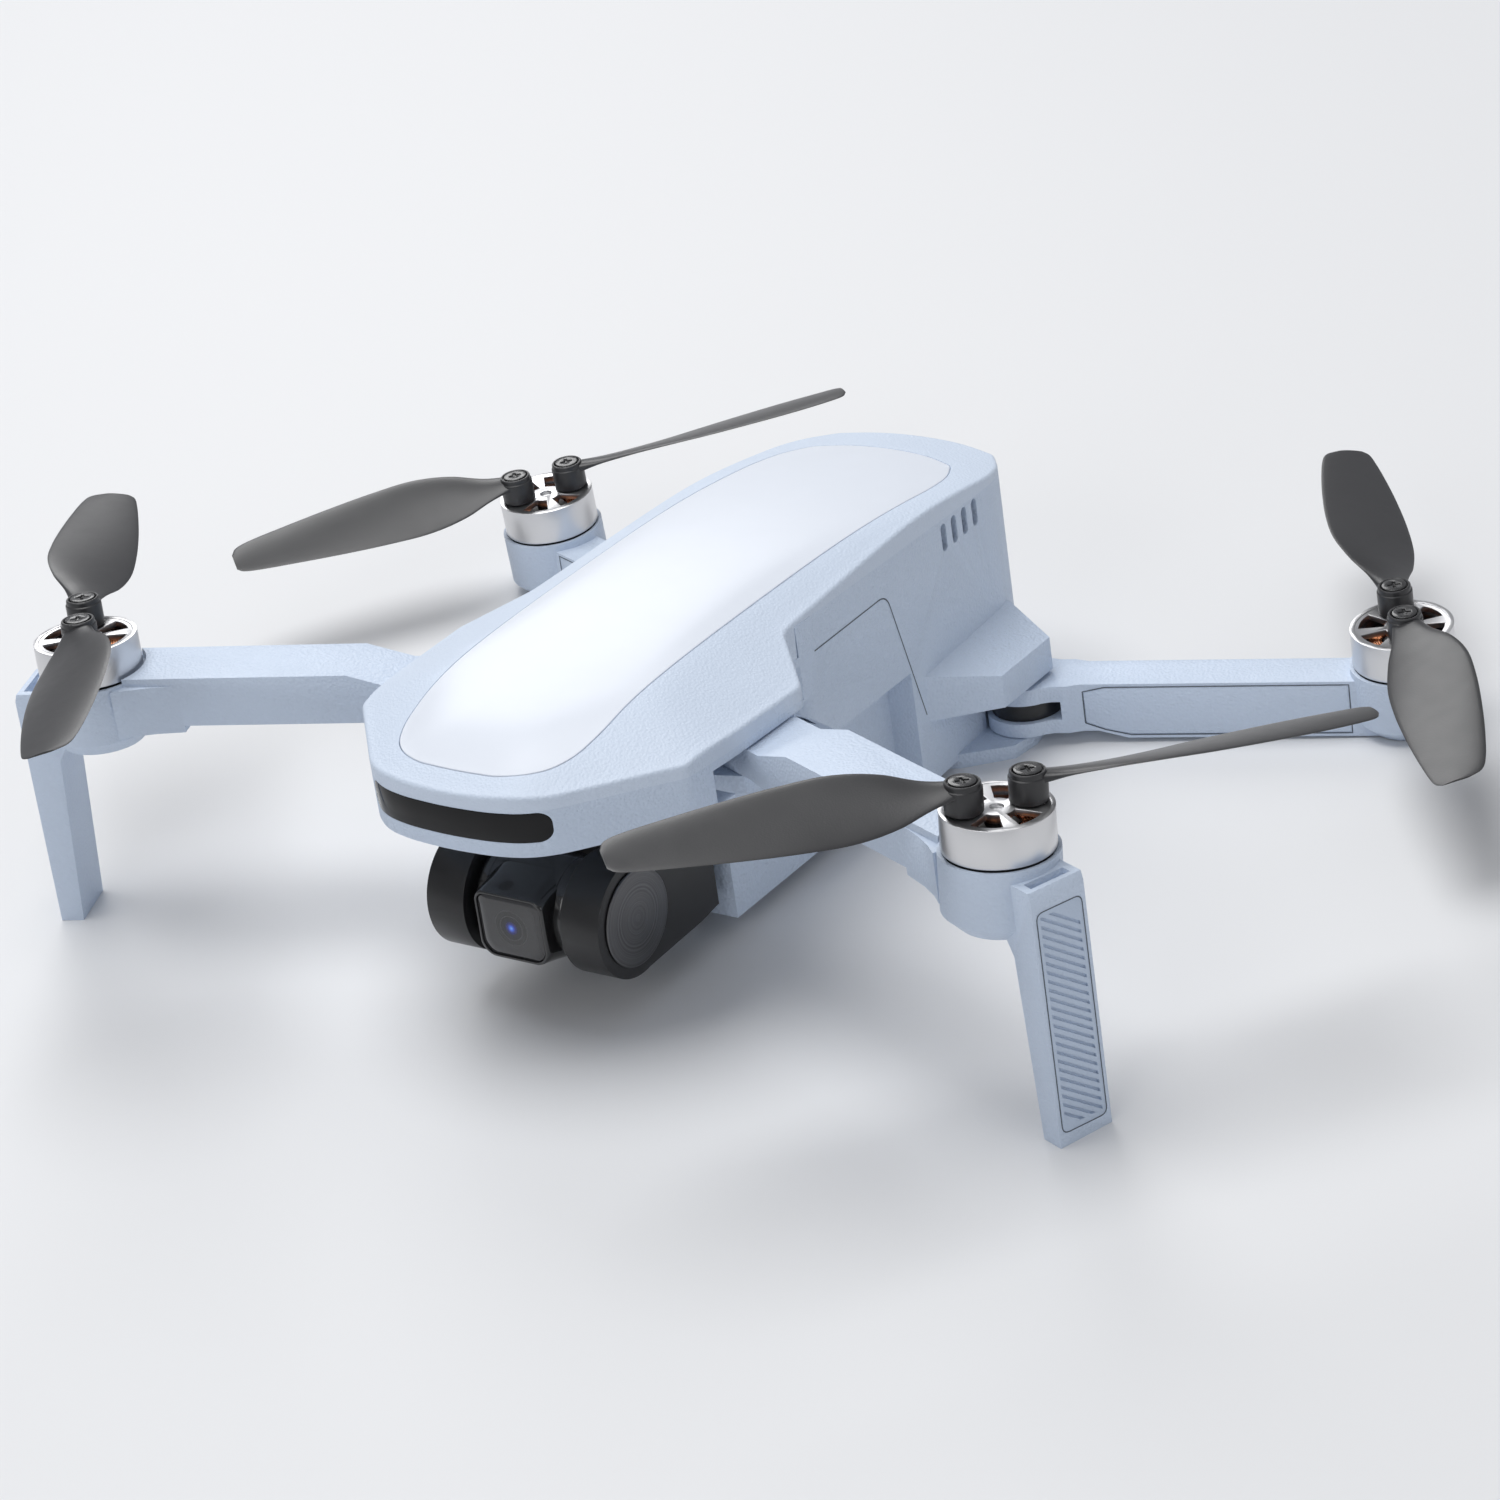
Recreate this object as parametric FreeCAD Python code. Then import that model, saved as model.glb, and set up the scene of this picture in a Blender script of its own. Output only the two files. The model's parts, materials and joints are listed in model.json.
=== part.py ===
import FreeCAD, Part
import math
import os
from FreeCAD import Placement, Rotation, Vector

# Folding camera quadcopter, arms open, propellers spread.  Millimetres.
# Everything is drawn in the body frame: the shell's rim is level, the nose points to -Y, the
# aircraft's left is +X and the tips of the front legs touch z = 0.  Standing on its legs the
# aircraft is nose-up by GROUND_PITCH, so every piece is turned by that angle before it is saved.

# ---- driving dimensions -------------------------------------------------------------------
GROUND_PITCH = 2.1            # nose-up attitude on the ground, degrees
LEG_Y = -70.0                 # the pitch turns about the leg tips
ROW_SHIFT_Y = -1.58           # puts the middle of the box on the origin

WALL = 2.0                    # shell wall
RIM_Z = 47.4                  # rim of the front half of the shell
SLAB_BOTTOM = 37.5            # underside of the nose
BELLY_BOTTOM = 5.0
BELLY_HALF = 18.0
BELLY_FRONT = -36.0
PARTING_Z = 45.3              # seam under the rim
FLANK_SLOPE = 23.5            # slope of the shell's flanks, degrees
NOSE_TIP_Y = -81.6
TAIL_Y = 58.7
REAR_FRONT_Y = -19.3          # front edge of the tall rear block
ARM_BAY_END = 13.0            # rear end of the side bay that takes a folded rear arm
ARM_BAY_TOP = 28.0

MOTOR_X = 89.25
MOTOR_Y = 61.9
FRONT_RIM_Z = 51.3            # motor bell rims
REAR_RIM_Z = 23.4
FRONT_LEAN = (1.9, 2.97)      # outward and rearward lean of the front motors, degrees
REAR_LEAN = (0.8, -2.9)

FRONT_PIVOT = (27.0, -38.0)   # fold axes, left side
REAR_PIVOT = (28.0, 39.4)
PIN_R = 2.0
PIN_CLEARANCE = 0.05

BELL_R = 8.7
BELL_H = 6.3
SHAFT_R = 1.0
HUB_OFFSET = 5.0              # blade screws stand either side of the shaft
HUB_R = 3.0
HUB_H = 5.0
BLADE_REACH = 54.4            # from blade screw to blade tip
POD_R = 9.3
FRONT_BLADE_AXIS = {"left": 49.0, "right": -53.0}
REAR_BLADE_AXIS = {"left": -53.0, "right": 49.0}

GIMBAL_Y = -60.5
GIMBAL_Z = 17.8
HOUSING_R = 10.0
BATTERY_HALF = 15.7
BATTERY_Z = (7.1, 34.6)
BATTERY_START = -14.0
BATTERY_BACK = 59.2
BAY_GAP = 0.2                 # clearance round the battery
DECK_Z = 36.0                 # top of the deck over the battery


# ---- small helpers ------------------------------------------------------------------------
def block(x0, x1, y0, y1, z0, z1):
    return Part.makeBox(x1 - x0, y1 - y0, z1 - z0, Vector(x0, y0, z0))


def rod(r, z0, z1, x=0.0, y=0.0):
    return Part.makeCylinder(r, z1 - z0, Vector(x, y, z0))


def rod_x(r, x0, x1, y, z):
    return Part.makeCylinder(r, x1 - x0, Vector(x0, y, z), Vector(1, 0, 0))


def ring(r_out, r_in, z0, z1, x=0.0, y=0.0):
    return rod(r_out, z0, z1, x, y).cut(rod(r_in, z0 - 1, z1 + 1, x, y))


def face_of(points):
    return Part.Face(Part.makePolygon(points + [points[0]]))


def prism(plan, z0, z1):
    """A plan outline, raised from z0 to z1."""
    return face_of([Vector(x, y, z0) for x, y in plan]).extrude(Vector(0, 0, z1 - z0))


def round_prism(plan, radius, z0, z1):
    """A plan outline with rounded corners, raised from z0 to z1.

    A corner that hardly turns gets the longest arc that fits, so such a run reads as one curve.
    """
    points = [Vector(x, y, z0) for x, y in plan]
    edges, last = [], None
    for before, corner, after in zip(points[-1:] + points[:-1], points, points[1:] + points[:1]):
        back, ahead = (before - corner), (after - corner)
        back.normalize()
        ahead.normalize()
        half = back.getAngle(ahead) / 2
        reach = radius / math.tan(half)
        if half > math.radians(90.0 - SHALLOW_TURN / 2):
            reach = 0.48 * min((before - corner).Length, (after - corner).Length)
        bend = reach * math.tan(half)
        middle = (back + ahead).normalize() * (bend / math.sin(half) - bend)
        start, end = corner + back * reach, corner + ahead * reach
        if last is not None:
            edges.append(Part.makeLine(last, start))
        edges.append(Part.Arc(start, corner + middle, end).toShape())
        last = end
    edges.append(Part.makeLine(last, edges[0].Vertexes[0].Point))
    return Part.Face(Part.Wire(edges)).extrude(Vector(0, 0, z1 - z0))


def prism_x(side, x0, x1):
    """A (y, z) outline, drawn across from x0 to x1."""
    return face_of([Vector(x0, y, z) for y, z in side]).extrude(Vector(x1 - x0, 0, 0))


def prism_y(front, y0, y1):
    """An (x, z) outline, drawn back from y0 to y1."""
    return face_of([Vector(x, y0, z) for x, z in front]).extrude(Vector(0, y1 - y0, 0))


def mirrored(shape):
    return shape.mirror(Vector(0, 0, 0), Vector(1, 0, 0))


def both_sides(shape):
    return [shape, mirrored(shape)]


def whole(half):
    """A half outline from the front to the back, closed with its mirror image."""
    back = [(-x, y) for x, y in reversed(half) if x > 0]
    return half + back


def inset(plan, gap):
    """A convex outline that runs anticlockwise, moved inwards by gap."""
    lines = []
    for (x0, y0), (x1, y1) in zip(plan, plan[1:] + plan[:1]):
        length = math.hypot(x1 - x0, y1 - y0)
        dx, dy = (x1 - x0) / length, (y1 - y0) / length
        lines.append((x0 - dy * gap, y0 + dx * gap, dx, dy))
    out = []
    for (ax, ay, adx, ady), (bx, by, bdx, bdy) in zip(lines[-1:] + lines[:-1], lines):
        t = ((bx - ax) * bdy - (by - ay) * bdx) / (adx * bdy - ady * bdx)
        out.append((ax + adx * t, ay + ady * t))
    return out


def below_plane(point, normal):
    """A large block whose top face lies on a plane."""
    size = 300.0
    big = Part.makeBox(size, size, size, Vector(-size / 2, -size / 2, -size))
    big.Placement = Placement(Vector(*point), Rotation(Vector(0, 0, 1), Vector(*normal)))
    return big


def union(shapes):
    return shapes[0].multiFuse(shapes[1:]).removeSplitter() if len(shapes) > 1 else shapes[0]


def common(shapes):
    out = shapes[0]
    for shape in shapes[1:]:
        out = out.common(shape)
    return out


def separate(shapes):
    return Part.makeCompound(shapes)


# ---- body form ----------------------------------------------------------------------------
NOSE_HALF = [
    (0.0, NOSE_TIP_Y), (8.4, -81.0), (13.6, -79.7), (17.6, -77.0), (32.0, -60.7),
    (33.2, -51.0), (34.0, -31.5), (25.2, -22.5), (24.6, -12.0), (0.0, -11.5),
]
REAR_HALF = [
    (0.0, REAR_FRONT_Y - 0.1), (24.9, REAR_FRONT_Y), (21.8, 45.0), (20.3, 50.5),
    (16.0, 55.9), (8.0, 58.3), (0.0, TAIL_Y),
]
INLAY_HALF = [
    (0.0, -77.4), (7.7, -77.1), (11.4, -75.8), (14.6, -73.0), (16.8, -68.5), (17.8, -62.0),
    (18.0, -50.0), (18.1, -20.0), (18.2, 10.0), (18.0, 33.0), (17.0, 40.0), (14.2, 45.2),
    (8.0, 47.6), (0.0, 48.3),
]
CORNER_R = 3.2
SHALLOW_TURN = 30.0           # a corner that turns less than this, in degrees, is drawn as a long arc
CROWN_PROFILE = [(-74.0, 52.0), (-20.0, 56.0), (45.0, 50.4)]
CROWN_SIDE_RADIUS = 165.0
TALL = 64.0


def crown(drop):
    """The long arch of the top, also gently arched from side to side."""
    ends = [Vector(0, y, z - drop) for y, z in CROWN_PROFILE]
    arc = Part.Arc(*ends).toShape()
    circle = arc.Curve
    centre, radius = circle.Center, circle.Radius
    points = []
    for y in (-90.0, -20.0, 70.0):
        height = math.sqrt(radius ** 2 - (y - centre.y) ** 2)
        points.append(Vector(0, y, centre.z + height))
    base = -10.0
    corner_a = Vector(0, 70.0, base)
    corner_b = Vector(0, -90.0, base)
    edges = [
        Part.Arc(*points).toShape(),
        Part.makeLine(points[2], corner_a),
        Part.makeLine(corner_a, corner_b),
        Part.makeLine(corner_b, points[0]),
    ]
    face = Part.Face(Part.Wire(edges))
    axis_z = CROWN_PROFILE[1][1] - drop - CROWN_SIDE_RADIUS
    spread = 34.0
    face.rotate(Vector(0, 0, axis_z), Vector(0, 1, 0), -spread / 2)
    return face.revolve(Vector(0, 0, axis_z), Vector(0, 1, 0), spread)


def roof_planes(drop):
    """The flanks, the nose slope and the two corner slopes, as blocks below their planes."""
    lean = math.radians(FLANK_SLOPE)
    corner = math.hypot(14.4, 16.3)
    edges = [
        ((34.0, 0.0), (1.0, 0.0)),
        ((-34.0, 0.0), (-1.0, 0.0)),
        ((0.0, NOSE_TIP_Y), (0.0, -1.0)),
        ((17.6, -77.0), (16.3 / corner, -14.4 / corner)),
        ((-17.6, -77.0), (-16.3 / corner, -14.4 / corner)),
    ]
    out = []
    for (x, y), (nx, ny) in edges:
        normal = (nx * math.sin(lean), ny * math.sin(lean), math.cos(lean))
        point = (x - normal[0] * drop, y - normal[1] * drop, RIM_Z - normal[2] * drop)
        out.append(below_plane(point, normal))
    return out


def body_form(gap):
    """The body's outer form, or the same form moved inwards by gap."""
    nose = round_prism(inset(whole(NOSE_HALF), gap), CORNER_R - gap, SLAB_BOTTOM + gap, TALL)
    rear = round_prism(inset(whole(REAR_HALF), gap), CORNER_R - gap, BELLY_BOTTOM + gap, TALL)
    return common([nose.fuse(rear), crown(gap)] + roof_planes(gap))


def arm_bay():
    """The space beside the belly that takes a folded rear arm, left side."""
    side = [
        (-60.0, -5.0), (ARM_BAY_END, -5.0), (ARM_BAY_END, ARM_BAY_TOP - 1.0),
        (-11.0, ARM_BAY_TOP), (REAR_FRONT_Y - 0.5, 35.2), (-60.0, 35.2),
    ]
    return prism_x(side, BELLY_HALF, 60.0)


def upper_region():
    """What lies above the seam between the two halves of the shell."""
    side = [
        (-100.0, PARTING_Z), (REAR_FRONT_Y, PARTING_Z), (REAR_FRONT_Y, 50.6),
        (70.0, 46.0), (70.0, 80.0), (-100.0, 80.0),
    ]
    return prism_x(side, -60.0, 60.0)


# ---- hinge lugs of the body ----------------------------------------------------------------
BUMP_PLAN = [(19.0, 15.0), (23.1, 16.9), (32.7, 25.8), (32.7, 41.4), (21.9, 46.7), (19.0, 46.7)]
EAR_PLAN = [(17.0, 22.0), (23.0, 24.3), (30.4, 30.4), (31.4, 36.0), (30.4, 41.5), (21.9, 46.0), (17.0, 46.0)]
BUMP_BOTTOM = 16.0
EAR_TOP = 6.1
KNUCKLE_R = 7.0
FRONT_LUG_PLAN = [(15.0, -50.0), (31.0, -45.5), (33.0, -38.0), (31.0, -31.0), (15.0, -26.5)]
FRONT_LUG_Z = (34.8, 37.9)
FRONT_ARM_Z = (38.2, 43.5)    # root of the front arm
SLOT_TOP = 43.9


def rear_lugs():
    """The upper and lower lug that hold the rear arm's pin, left side."""
    bump = prism(BUMP_PLAN, BUMP_BOTTOM, 26.0)
    slope = math.atan2(24.5 - 21.9, 32.7 - 22.5)
    bump = bump.common(below_plane((32.7, 0.0, 21.9), (math.sin(slope), 0.0, math.cos(slope))))
    ear = prism(EAR_PLAN, 1.0, EAR_TOP)
    return [bump, ear]


def ground_block():
    """Everything under the ground, which trims the lower lugs flat."""
    under = Part.makeBox(400, 400, 60, Vector(-200, -200, -60))
    under.rotate(Vector(0, LEG_Y, 0), Vector(1, 0, 0), GROUND_PITCH)
    return under


def to_ground(shape):
    """Turns a piece from the body frame to the way it stands on its legs."""
    out = shape.copy()
    out.rotate(Vector(0, LEG_Y, 0), Vector(1, 0, 0), -GROUND_PITCH)
    out.translate(Vector(0, ROW_SHIFT_Y, 0))
    return out


# ---- shells -------------------------------------------------------------------------------
VENT_Y = [28.6, 32.1, 35.6, 39.1]


def round_slot(y):
    """One cooling slot through the side wall, with rounded ends."""
    slot = block(18.0, 26.0, y - 0.85, y + 0.85, 42.4, 47.3)
    ends = [e for e in slot.Edges if abs(e.BoundBox.XLength - 8.0) < 0.01]
    return slot.makeFillet(0.8, ends)


def pin_holes(radius):
    front = rod(radius, 30.0, SLOT_TOP + 1.2, *FRONT_PIVOT)
    rear = rod(radius, 4.6, 20.0, *REAR_PIVOT)
    return both_sides(front) + both_sides(rear)


SENSOR_Y = (-33.0, -17.0)     # downward sensors in the belly, ahead of the battery
PORT_X = (4.4, 13.6)
PORT_Z = (38.4, 41.6)


def window_band(gap):
    """The band across the nose that the dark window fills."""
    outer = round_prism(inset(whole(NOSE_HALF), gap), CORNER_R - gap, 39.0, 46.0)
    inner = round_prism(inset(whole(NOSE_HALF), 1.4), CORNER_R - 1.4, 39.0, 46.0)
    frame = block(-17.4, 17.4, -90.0, -76.4, 40.0, 45.1)
    frame = frame.makeFillet(2.0, [e for e in frame.Edges if e.BoundBox.YLength > 1.0])
    return outer.cut(inner).common(frame)


# x, y and the height of the joint between the lower column and the upper post
SCREW_PLACES = [(12.6, -62.0, 46.0), (-12.6, -62.0, 46.0), (12.6, 44.5, 43.6), (-12.6, 44.5, 43.6)]
SCREW_R = 0.9
HEAD_R = 1.7


def screw_seat(y):
    """Height of the face that a screw head pulls against."""
    return SLAB_BOTTOM + 1.1 if y < 0 else DECK_Z + 0.4


def upper_shell():
    shell = body_form(0.0).common(upper_region()).cut(body_form(WALL - 0.2))
    shell = shell.cut(prism(whole(INLAY_HALF), 40.0, TALL).cut(body_form(0.9)))
    inner = body_form(1.0)
    posts = []
    for x, y, z in SCREW_PLACES:
        posts.append(rod(2.4, z, TALL, x, y).common(inner).cut(rod(SCREW_R, z - 1, z + 3.4, x, y)))
    return union([shell] + posts)


def top_inlay():
    return prism(whole(INLAY_HALF), 40.0, TALL).common(body_form(0.0)).cut(body_form(0.9))


def lower_shell():
    form = body_form(0.0).cut(upper_region())
    belly = block(-BELLY_HALF, BELLY_HALF, BELLY_FRONT, 0.0, BELLY_BOTTOM, SLAB_BOTTOM + 1.0)
    lugs = [s for lug in rear_lugs() for s in both_sides(lug)]
    front_lugs = both_sides(prism(FRONT_LUG_PLAN, *FRONT_LUG_Z))
    bays = both_sides(arm_bay())
    solid = union([form.cut(separate(bays)), belly] + lugs + front_lugs)

    nose_room = prism(inset(whole(NOSE_HALF), WALL + 0.2), SLAB_BOTTOM + WALL, TALL)
    nose_room = nose_room.common(block(-60, 60, -90, -53.0, 30, TALL))
    middle_room = block(-16.0, 16.0, -55.0, -15.0, SLAB_BOTTOM + WALL, TALL)
    front_room = block(-15.9, 15.9, BELLY_FRONT + WALL, BATTERY_START - WALL, BELLY_BOTTOM + WALL, 34.8)
    deck = block(-15.9 - WALL, 15.9 + WALL, -20.0, 60.0, 0.0, DECK_Z)
    rear_room = prism(inset(whole(REAR_HALF), WALL), ARM_BAY_TOP + 2.2, TALL).cut(deck)
    battery_bay = block(
        -BATTERY_HALF - BAY_GAP, BATTERY_HALF + BAY_GAP, BATTERY_START - BAY_GAP, TAIL_Y + 5.0,
        BATTERY_Z[0] - BAY_GAP, BATTERY_Z[1] + BAY_GAP,
    )
    slot_plan = [(20.2, -50.5), (45.0, -60.0), (45.0, -10.0), (27.0, -15.0), (25.3, -19.0), (20.2, -25.0)]
    arm_slots = both_sides(prism(slot_plan, FRONT_LUG_Z[1], SLOT_TOP))
    under_slots = both_sides(prism([(18.5, -51.0), (45, -51.0), (45, -22.0), (18.5, -22.0)], 33.0, 38.5))
    knuckle_rooms = both_sides(rod(KNUCKLE_R + 0.4, EAR_TOP, BUMP_BOTTOM, *REAR_PIVOT))
    vents = []
    for y in VENT_Y:
        vents += both_sides(round_slot(y))
    sensor_hole = block(-6.0, 6.0, *SENSOR_Y, 0.0, BELLY_BOTTOM + WALL + 1.0)
    port_hole = block(*PORT_X, 50.0, 62.0, *PORT_Z)
    rooms = [nose_room, middle_room, front_room, rear_room, battery_bay, sensor_hole, port_hole]
    solid = solid.cut(rooms)
    columns = [rod(2.4, screw_seat(y) - 0.9, z, x, y) for x, y, z in SCREW_PLACES]
    solid = union([solid] + columns)
    screw_bores = []
    for x, y, z in SCREW_PLACES:
        seat = screw_seat(y)
        screw_bores += [rod(SCREW_R, seat - 3.0, TALL, x, y), rod(HEAD_R, seat - 1.8, seat, x, y)]
    solid = solid.cut(screw_bores)
    lug_keep = separate(front_lugs)
    solid = solid.cut(arm_slots + [s.cut(lug_keep) for s in under_slots] + knuckle_rooms + vents)
    return solid.cut(pin_holes(PIN_R) + [window_band(-1.0), ground_block()])


def nose_window():
    return window_band(0.0)


# ---- motors and propellers, drawn about their own axis, bell rim at z = 0 --------------------
WINDOW_ANGLES = [60.0, 120.0, 240.0, 300.0]
COILS = 9


def sector(r_in, r_out, half_angle, middle_angle, z0, z1):
    """A piece of a ring, half_angle either side of middle_angle."""
    def at(r, a):
        t = math.radians(a)
        return Vector(r * math.cos(t), r * math.sin(t), z0)
    a0, a1 = middle_angle - half_angle, middle_angle + half_angle
    edges = [
        Part.Arc(at(r_out, a0), at(r_out, middle_angle), at(r_out, a1)).toShape(),
        Part.makeLine(at(r_out, a1), at(r_in, a1)),
        Part.Arc(at(r_in, a1), at(r_in, middle_angle), at(r_in, a0)).toShape(),
        Part.makeLine(at(r_in, a0), at(r_out, a0)),
    ]
    return Part.Face(Part.Wire(edges)).extrude(Vector(0, 0, z1 - z0))


def motor_bell():
    wall = ring(BELL_R, BELL_R - 0.8, -BELL_H, 0.0)
    plate = rod(BELL_R - 0.5, -1.1, -0.1)
    windows = [sector(2.9, 7.2, 20.0, a, -2.0, 1.0) for a in WINDOW_ANGLES]
    collar = rod(2.2, -2.0, -1.0)
    shaft = rod(SHAFT_R, -9.2, -1.5)
    dimple = rod(1.1, -0.6, 0.5)
    screw_holes = [rod(1.02, -1.5, 0.5, x) for x in (-HUB_OFFSET, HUB_OFFSET)]
    return union([wall, plate, collar, shaft]).cut(windows + [dimple] + screw_holes)


def motor_magnets():
    return ring(BELL_R - 0.8, BELL_R - 1.6, -5.9, -1.7)


def motor_stator():
    base = rod(8.0, -7.6, -6.7)
    tube = rod(2.0, -9.4, -2.3)
    core = rod(3.1, -5.8, -2.7)
    teeth = []
    for i in range(COILS):
        tooth = block(2.5, 6.0, -0.5, 0.5, -5.4, -3.1).fuse(sector(5.9, 6.7, 12.0, 0.0, -5.8, -2.7))
        tooth.rotate(Vector(0, 0, 0), Vector(0, 0, 1), i * 360.0 / COILS)
        teeth.append(tooth)
    return union([base, tube, core] + teeth).cut(rod(SHAFT_R + PIN_CLEARANCE, -12.0, 0.0))


def motor_windings():
    coils = []
    for i in range(COILS):
        outer = block(3.5, 5.6, -1.15, 1.15, -6.0, -2.4)
        coil = outer.cut(block(3.0, 6.0, -0.52, 0.52, -5.42, -3.08))
        coil.rotate(Vector(0, 0, 0), Vector(0, 0, 1), i * 360.0 / COILS)
        coils.append(coil)
    return separate(coils)


def hub_screws():
    out = []
    for x in (-HUB_OFFSET, HUB_OFFSET):
        head = rod(2.1, HUB_H - 0.5, HUB_H + 0.1, x)
        cross = [
            block(x - 1.1, x + 1.1, -0.25, 0.25, HUB_H - 0.25, HUB_H + 1),
            block(x - 0.25, x + 0.25, -1.1, 1.1, HUB_H - 0.25, HUB_H + 1),
        ]
        out.append(head.fuse(rod(1.0, -1.0, HUB_H - 0.4, x)).cut(cross))
    return separate(out)


BLADE_STATIONS = [
    # along blade, chord, pitch in degrees, thickness, sweep of the mid-chord
    (1.6, 4.6, 6.0, 1.5, 0.0),
    (6.0, 7.2, 16.0, 1.2, 0.1),
    (11.0, 11.4, 21.0, 1.1, 0.4),
    (18.0, 14.4, 21.0, 1.0, 0.5),
    (26.0, 14.6, 18.5, 0.9, 0.3),
    (35.0, 13.4, 16.0, 0.8, 0.0),
    (44.0, 11.4, 13.5, 0.7, -0.3),
    (51.0, 9.2, 12.0, 0.6, -0.6),
    (BLADE_REACH - 0.9, 7.4, 11.0, 0.5, -0.9),
    (BLADE_REACH, 4.6, 11.0, 0.4, -1.4),
]
BLADE_Z = 3.6


def blade(leading):
    """One blade on its hub at the origin, reaching along +X; leading is the sign of its front edge."""
    sections = []
    for along, chord, pitch, thick, sweep in BLADE_STATIONS:
        t = math.radians(pitch)
        edge = thick * 0.35
        outline = [
            (-0.5, -edge / 2), (-0.1, -thick * 0.35), (0.5, -edge / 2),
            (0.5, edge / 2), (0.15, thick * 0.65), (-0.5, edge / 2),
        ]
        points = []
        for c, h in outline:
            across = c * chord
            y = across * math.cos(t) - h * math.sin(t) + sweep
            z = across * math.sin(t) + h * math.cos(t) + BLADE_Z
            points.append(Vector(along, leading * y, z))
        sections.append(Part.makePolygon(points + [points[0]]))
    foil = Part.makeLoft(sections, True, True)
    hub = rod(HUB_R, 0.05, HUB_H)
    bore = [rod(1.06, -1.0, HUB_H + 1), rod(2.3, HUB_H - 0.6, HUB_H + 1)]
    return hub.fuse(foil).cut(bore)


def motor_axis(end, side):
    """Centre of the bell rim, and the direction of the motor's axis."""
    lean = FRONT_LEAN if end == "front" else REAR_LEAN
    sign = 1.0 if side == "left" else -1.0
    direction = Vector(sign * math.tan(math.radians(lean[0])), math.tan(math.radians(lean[1])), 1.0)
    direction.normalize()
    y, z = (-MOTOR_Y, FRONT_RIM_Z) if end == "front" else (MOTOR_Y, REAR_RIM_Z)
    return Vector(sign * MOTOR_X, y, z), direction


def motor_place(end, side, turn=0.0):
    centre, direction = motor_axis(end, side)
    lean = Rotation(Vector(0, 0, 1), direction)
    return Placement(centre, lean.multiply(Rotation(Vector(0, 0, 1), turn)))


def on_motor(shape, end, side, turn=0.0):
    out = shape.copy()
    out.Placement = motor_place(end, side, turn).multiply(shape.Placement)
    return out


def blade_axis(end, side):
    return (FRONT_BLADE_AXIS if end == "front" else REAR_BLADE_AXIS)[side]


def propeller(end, side):
    """The two blades of one motor: blade a is the one nearer the camera side of the aircraft."""
    clockwise = (end, side) in (("front", "left"), ("rear", "right"))
    leading = -1.0 if clockwise else 1.0
    angle = blade_axis(end, side)
    if clockwise:
        angle += 180.0
    out = {}
    for name, turn in (("a", angle), ("b", angle + 180.0)):
        shape = blade(leading)
        shape.translate(Vector(HUB_OFFSET, 0, 0))
        out[name] = on_motor(shape, end, side, turn)
    return out


# ---- arms ---------------------------------------------------------------------------------
FRONT_HALF_WIDTH = 6.0
REAR_HALF_WIDTH = 4.5
COLLAR_HALF_WIDTH = 5.3
FRONT_TOP_Z = 46.0
FRONT_BOTTOM_Z = 37.3
REAR_TOP_Z = 15.2
REAR_BOTTOM_Z = 5.0
HINGE_SLOT_Z = (8.9, 12.3)    # slot in the rear arm's knuckle for the detent ring
POD_TOP = -6.9                # measured down from the bell rim
FRONT_POD_DEPTH = 16.2
REAR_POD_DEPTH = 15.9
LEG_HALF_WIDTH = 4.9
RIBS = 24
RIB_PITCH = 1.5
RIB_SLOPE = -36.0
RIB_DEPTH = 0.55
LEG_PROFILE = [
    (0.0, 43.0), (12.3, 43.0), (12.7, 41.6), (12.9, 0.0),
    (8.9, 0.0), (6.9, 30.5), (4.5, 34.6), (0.0, 36.0),
]


def arm_run(end):
    """Length and heading of the arm, from its pivot to the motor, left side."""
    pivot = FRONT_PIVOT if end == "front" else REAR_PIVOT
    y = -MOTOR_Y if end == "front" else MOTOR_Y
    dx, dy = MOTOR_X - pivot[0], y - pivot[1]
    return math.hypot(dx, dy), math.degrees(math.atan2(dy, dx))


def along_arm(shape, end):
    """Moves a piece drawn along +X from the pivot to where the left arm is."""
    pivot = FRONT_PIVOT if end == "front" else REAR_PIVOT
    out = shape.copy()
    out.rotate(Vector(0, 0, 0), Vector(0, 0, 1), arm_run(end)[1])
    out.translate(Vector(pivot[0], pivot[1], 0))
    return out


def flare(end, half_width, z0, z1):
    """The part of the beam that widens into the pod."""
    length = arm_run(end)[0]
    half = [(length - 17.0, half_width), (length - 12.0, half_width + 0.5),
            (length - 8.5, half_width + 1.3), (length - 6.0, half_width + 2.3)]
    plan = [(s, -w) for s, w in half] + [(s, w) for s, w in reversed(half)]
    return prism(plan, z0, z1)


def side_profile(profile, half_width):
    """An (along, z) outline, half_width to each side."""
    return prism_y(profile, -half_width, half_width)


def pod(end):
    """The cup under the motor, with the seat for the motor's base."""
    depth = FRONT_POD_DEPTH if end == "front" else REAR_POD_DEPTH
    cup = rod(POD_R, -depth, POD_TOP + 0.6)
    lower = Part.makeCone(POD_R - 2.4, POD_R, 2.4, Vector(0, 0, -depth - 2.4))
    return on_motor(cup.fuse(lower), end, "left")


def pod_seat(end):
    seat = rod(8.6, -7.62, 4.0).fuse(rod(2.3, -9.8, -7.0))
    return on_motor(seat, end, "left")


def leg_recess(depth):
    """The shallow bed of the ribbed panel on the outer face of the leg."""
    length = arm_run("front")[0]
    outline = [(12.9 - depth, 2.2), (13.6, 2.2), (13.4, 39.4), (12.55 - depth, 39.4)]
    bed = side_profile([(length + s, z) for s, z in outline], LEG_HALF_WIDTH - 0.7)
    return along_arm(bed, "front")


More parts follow.
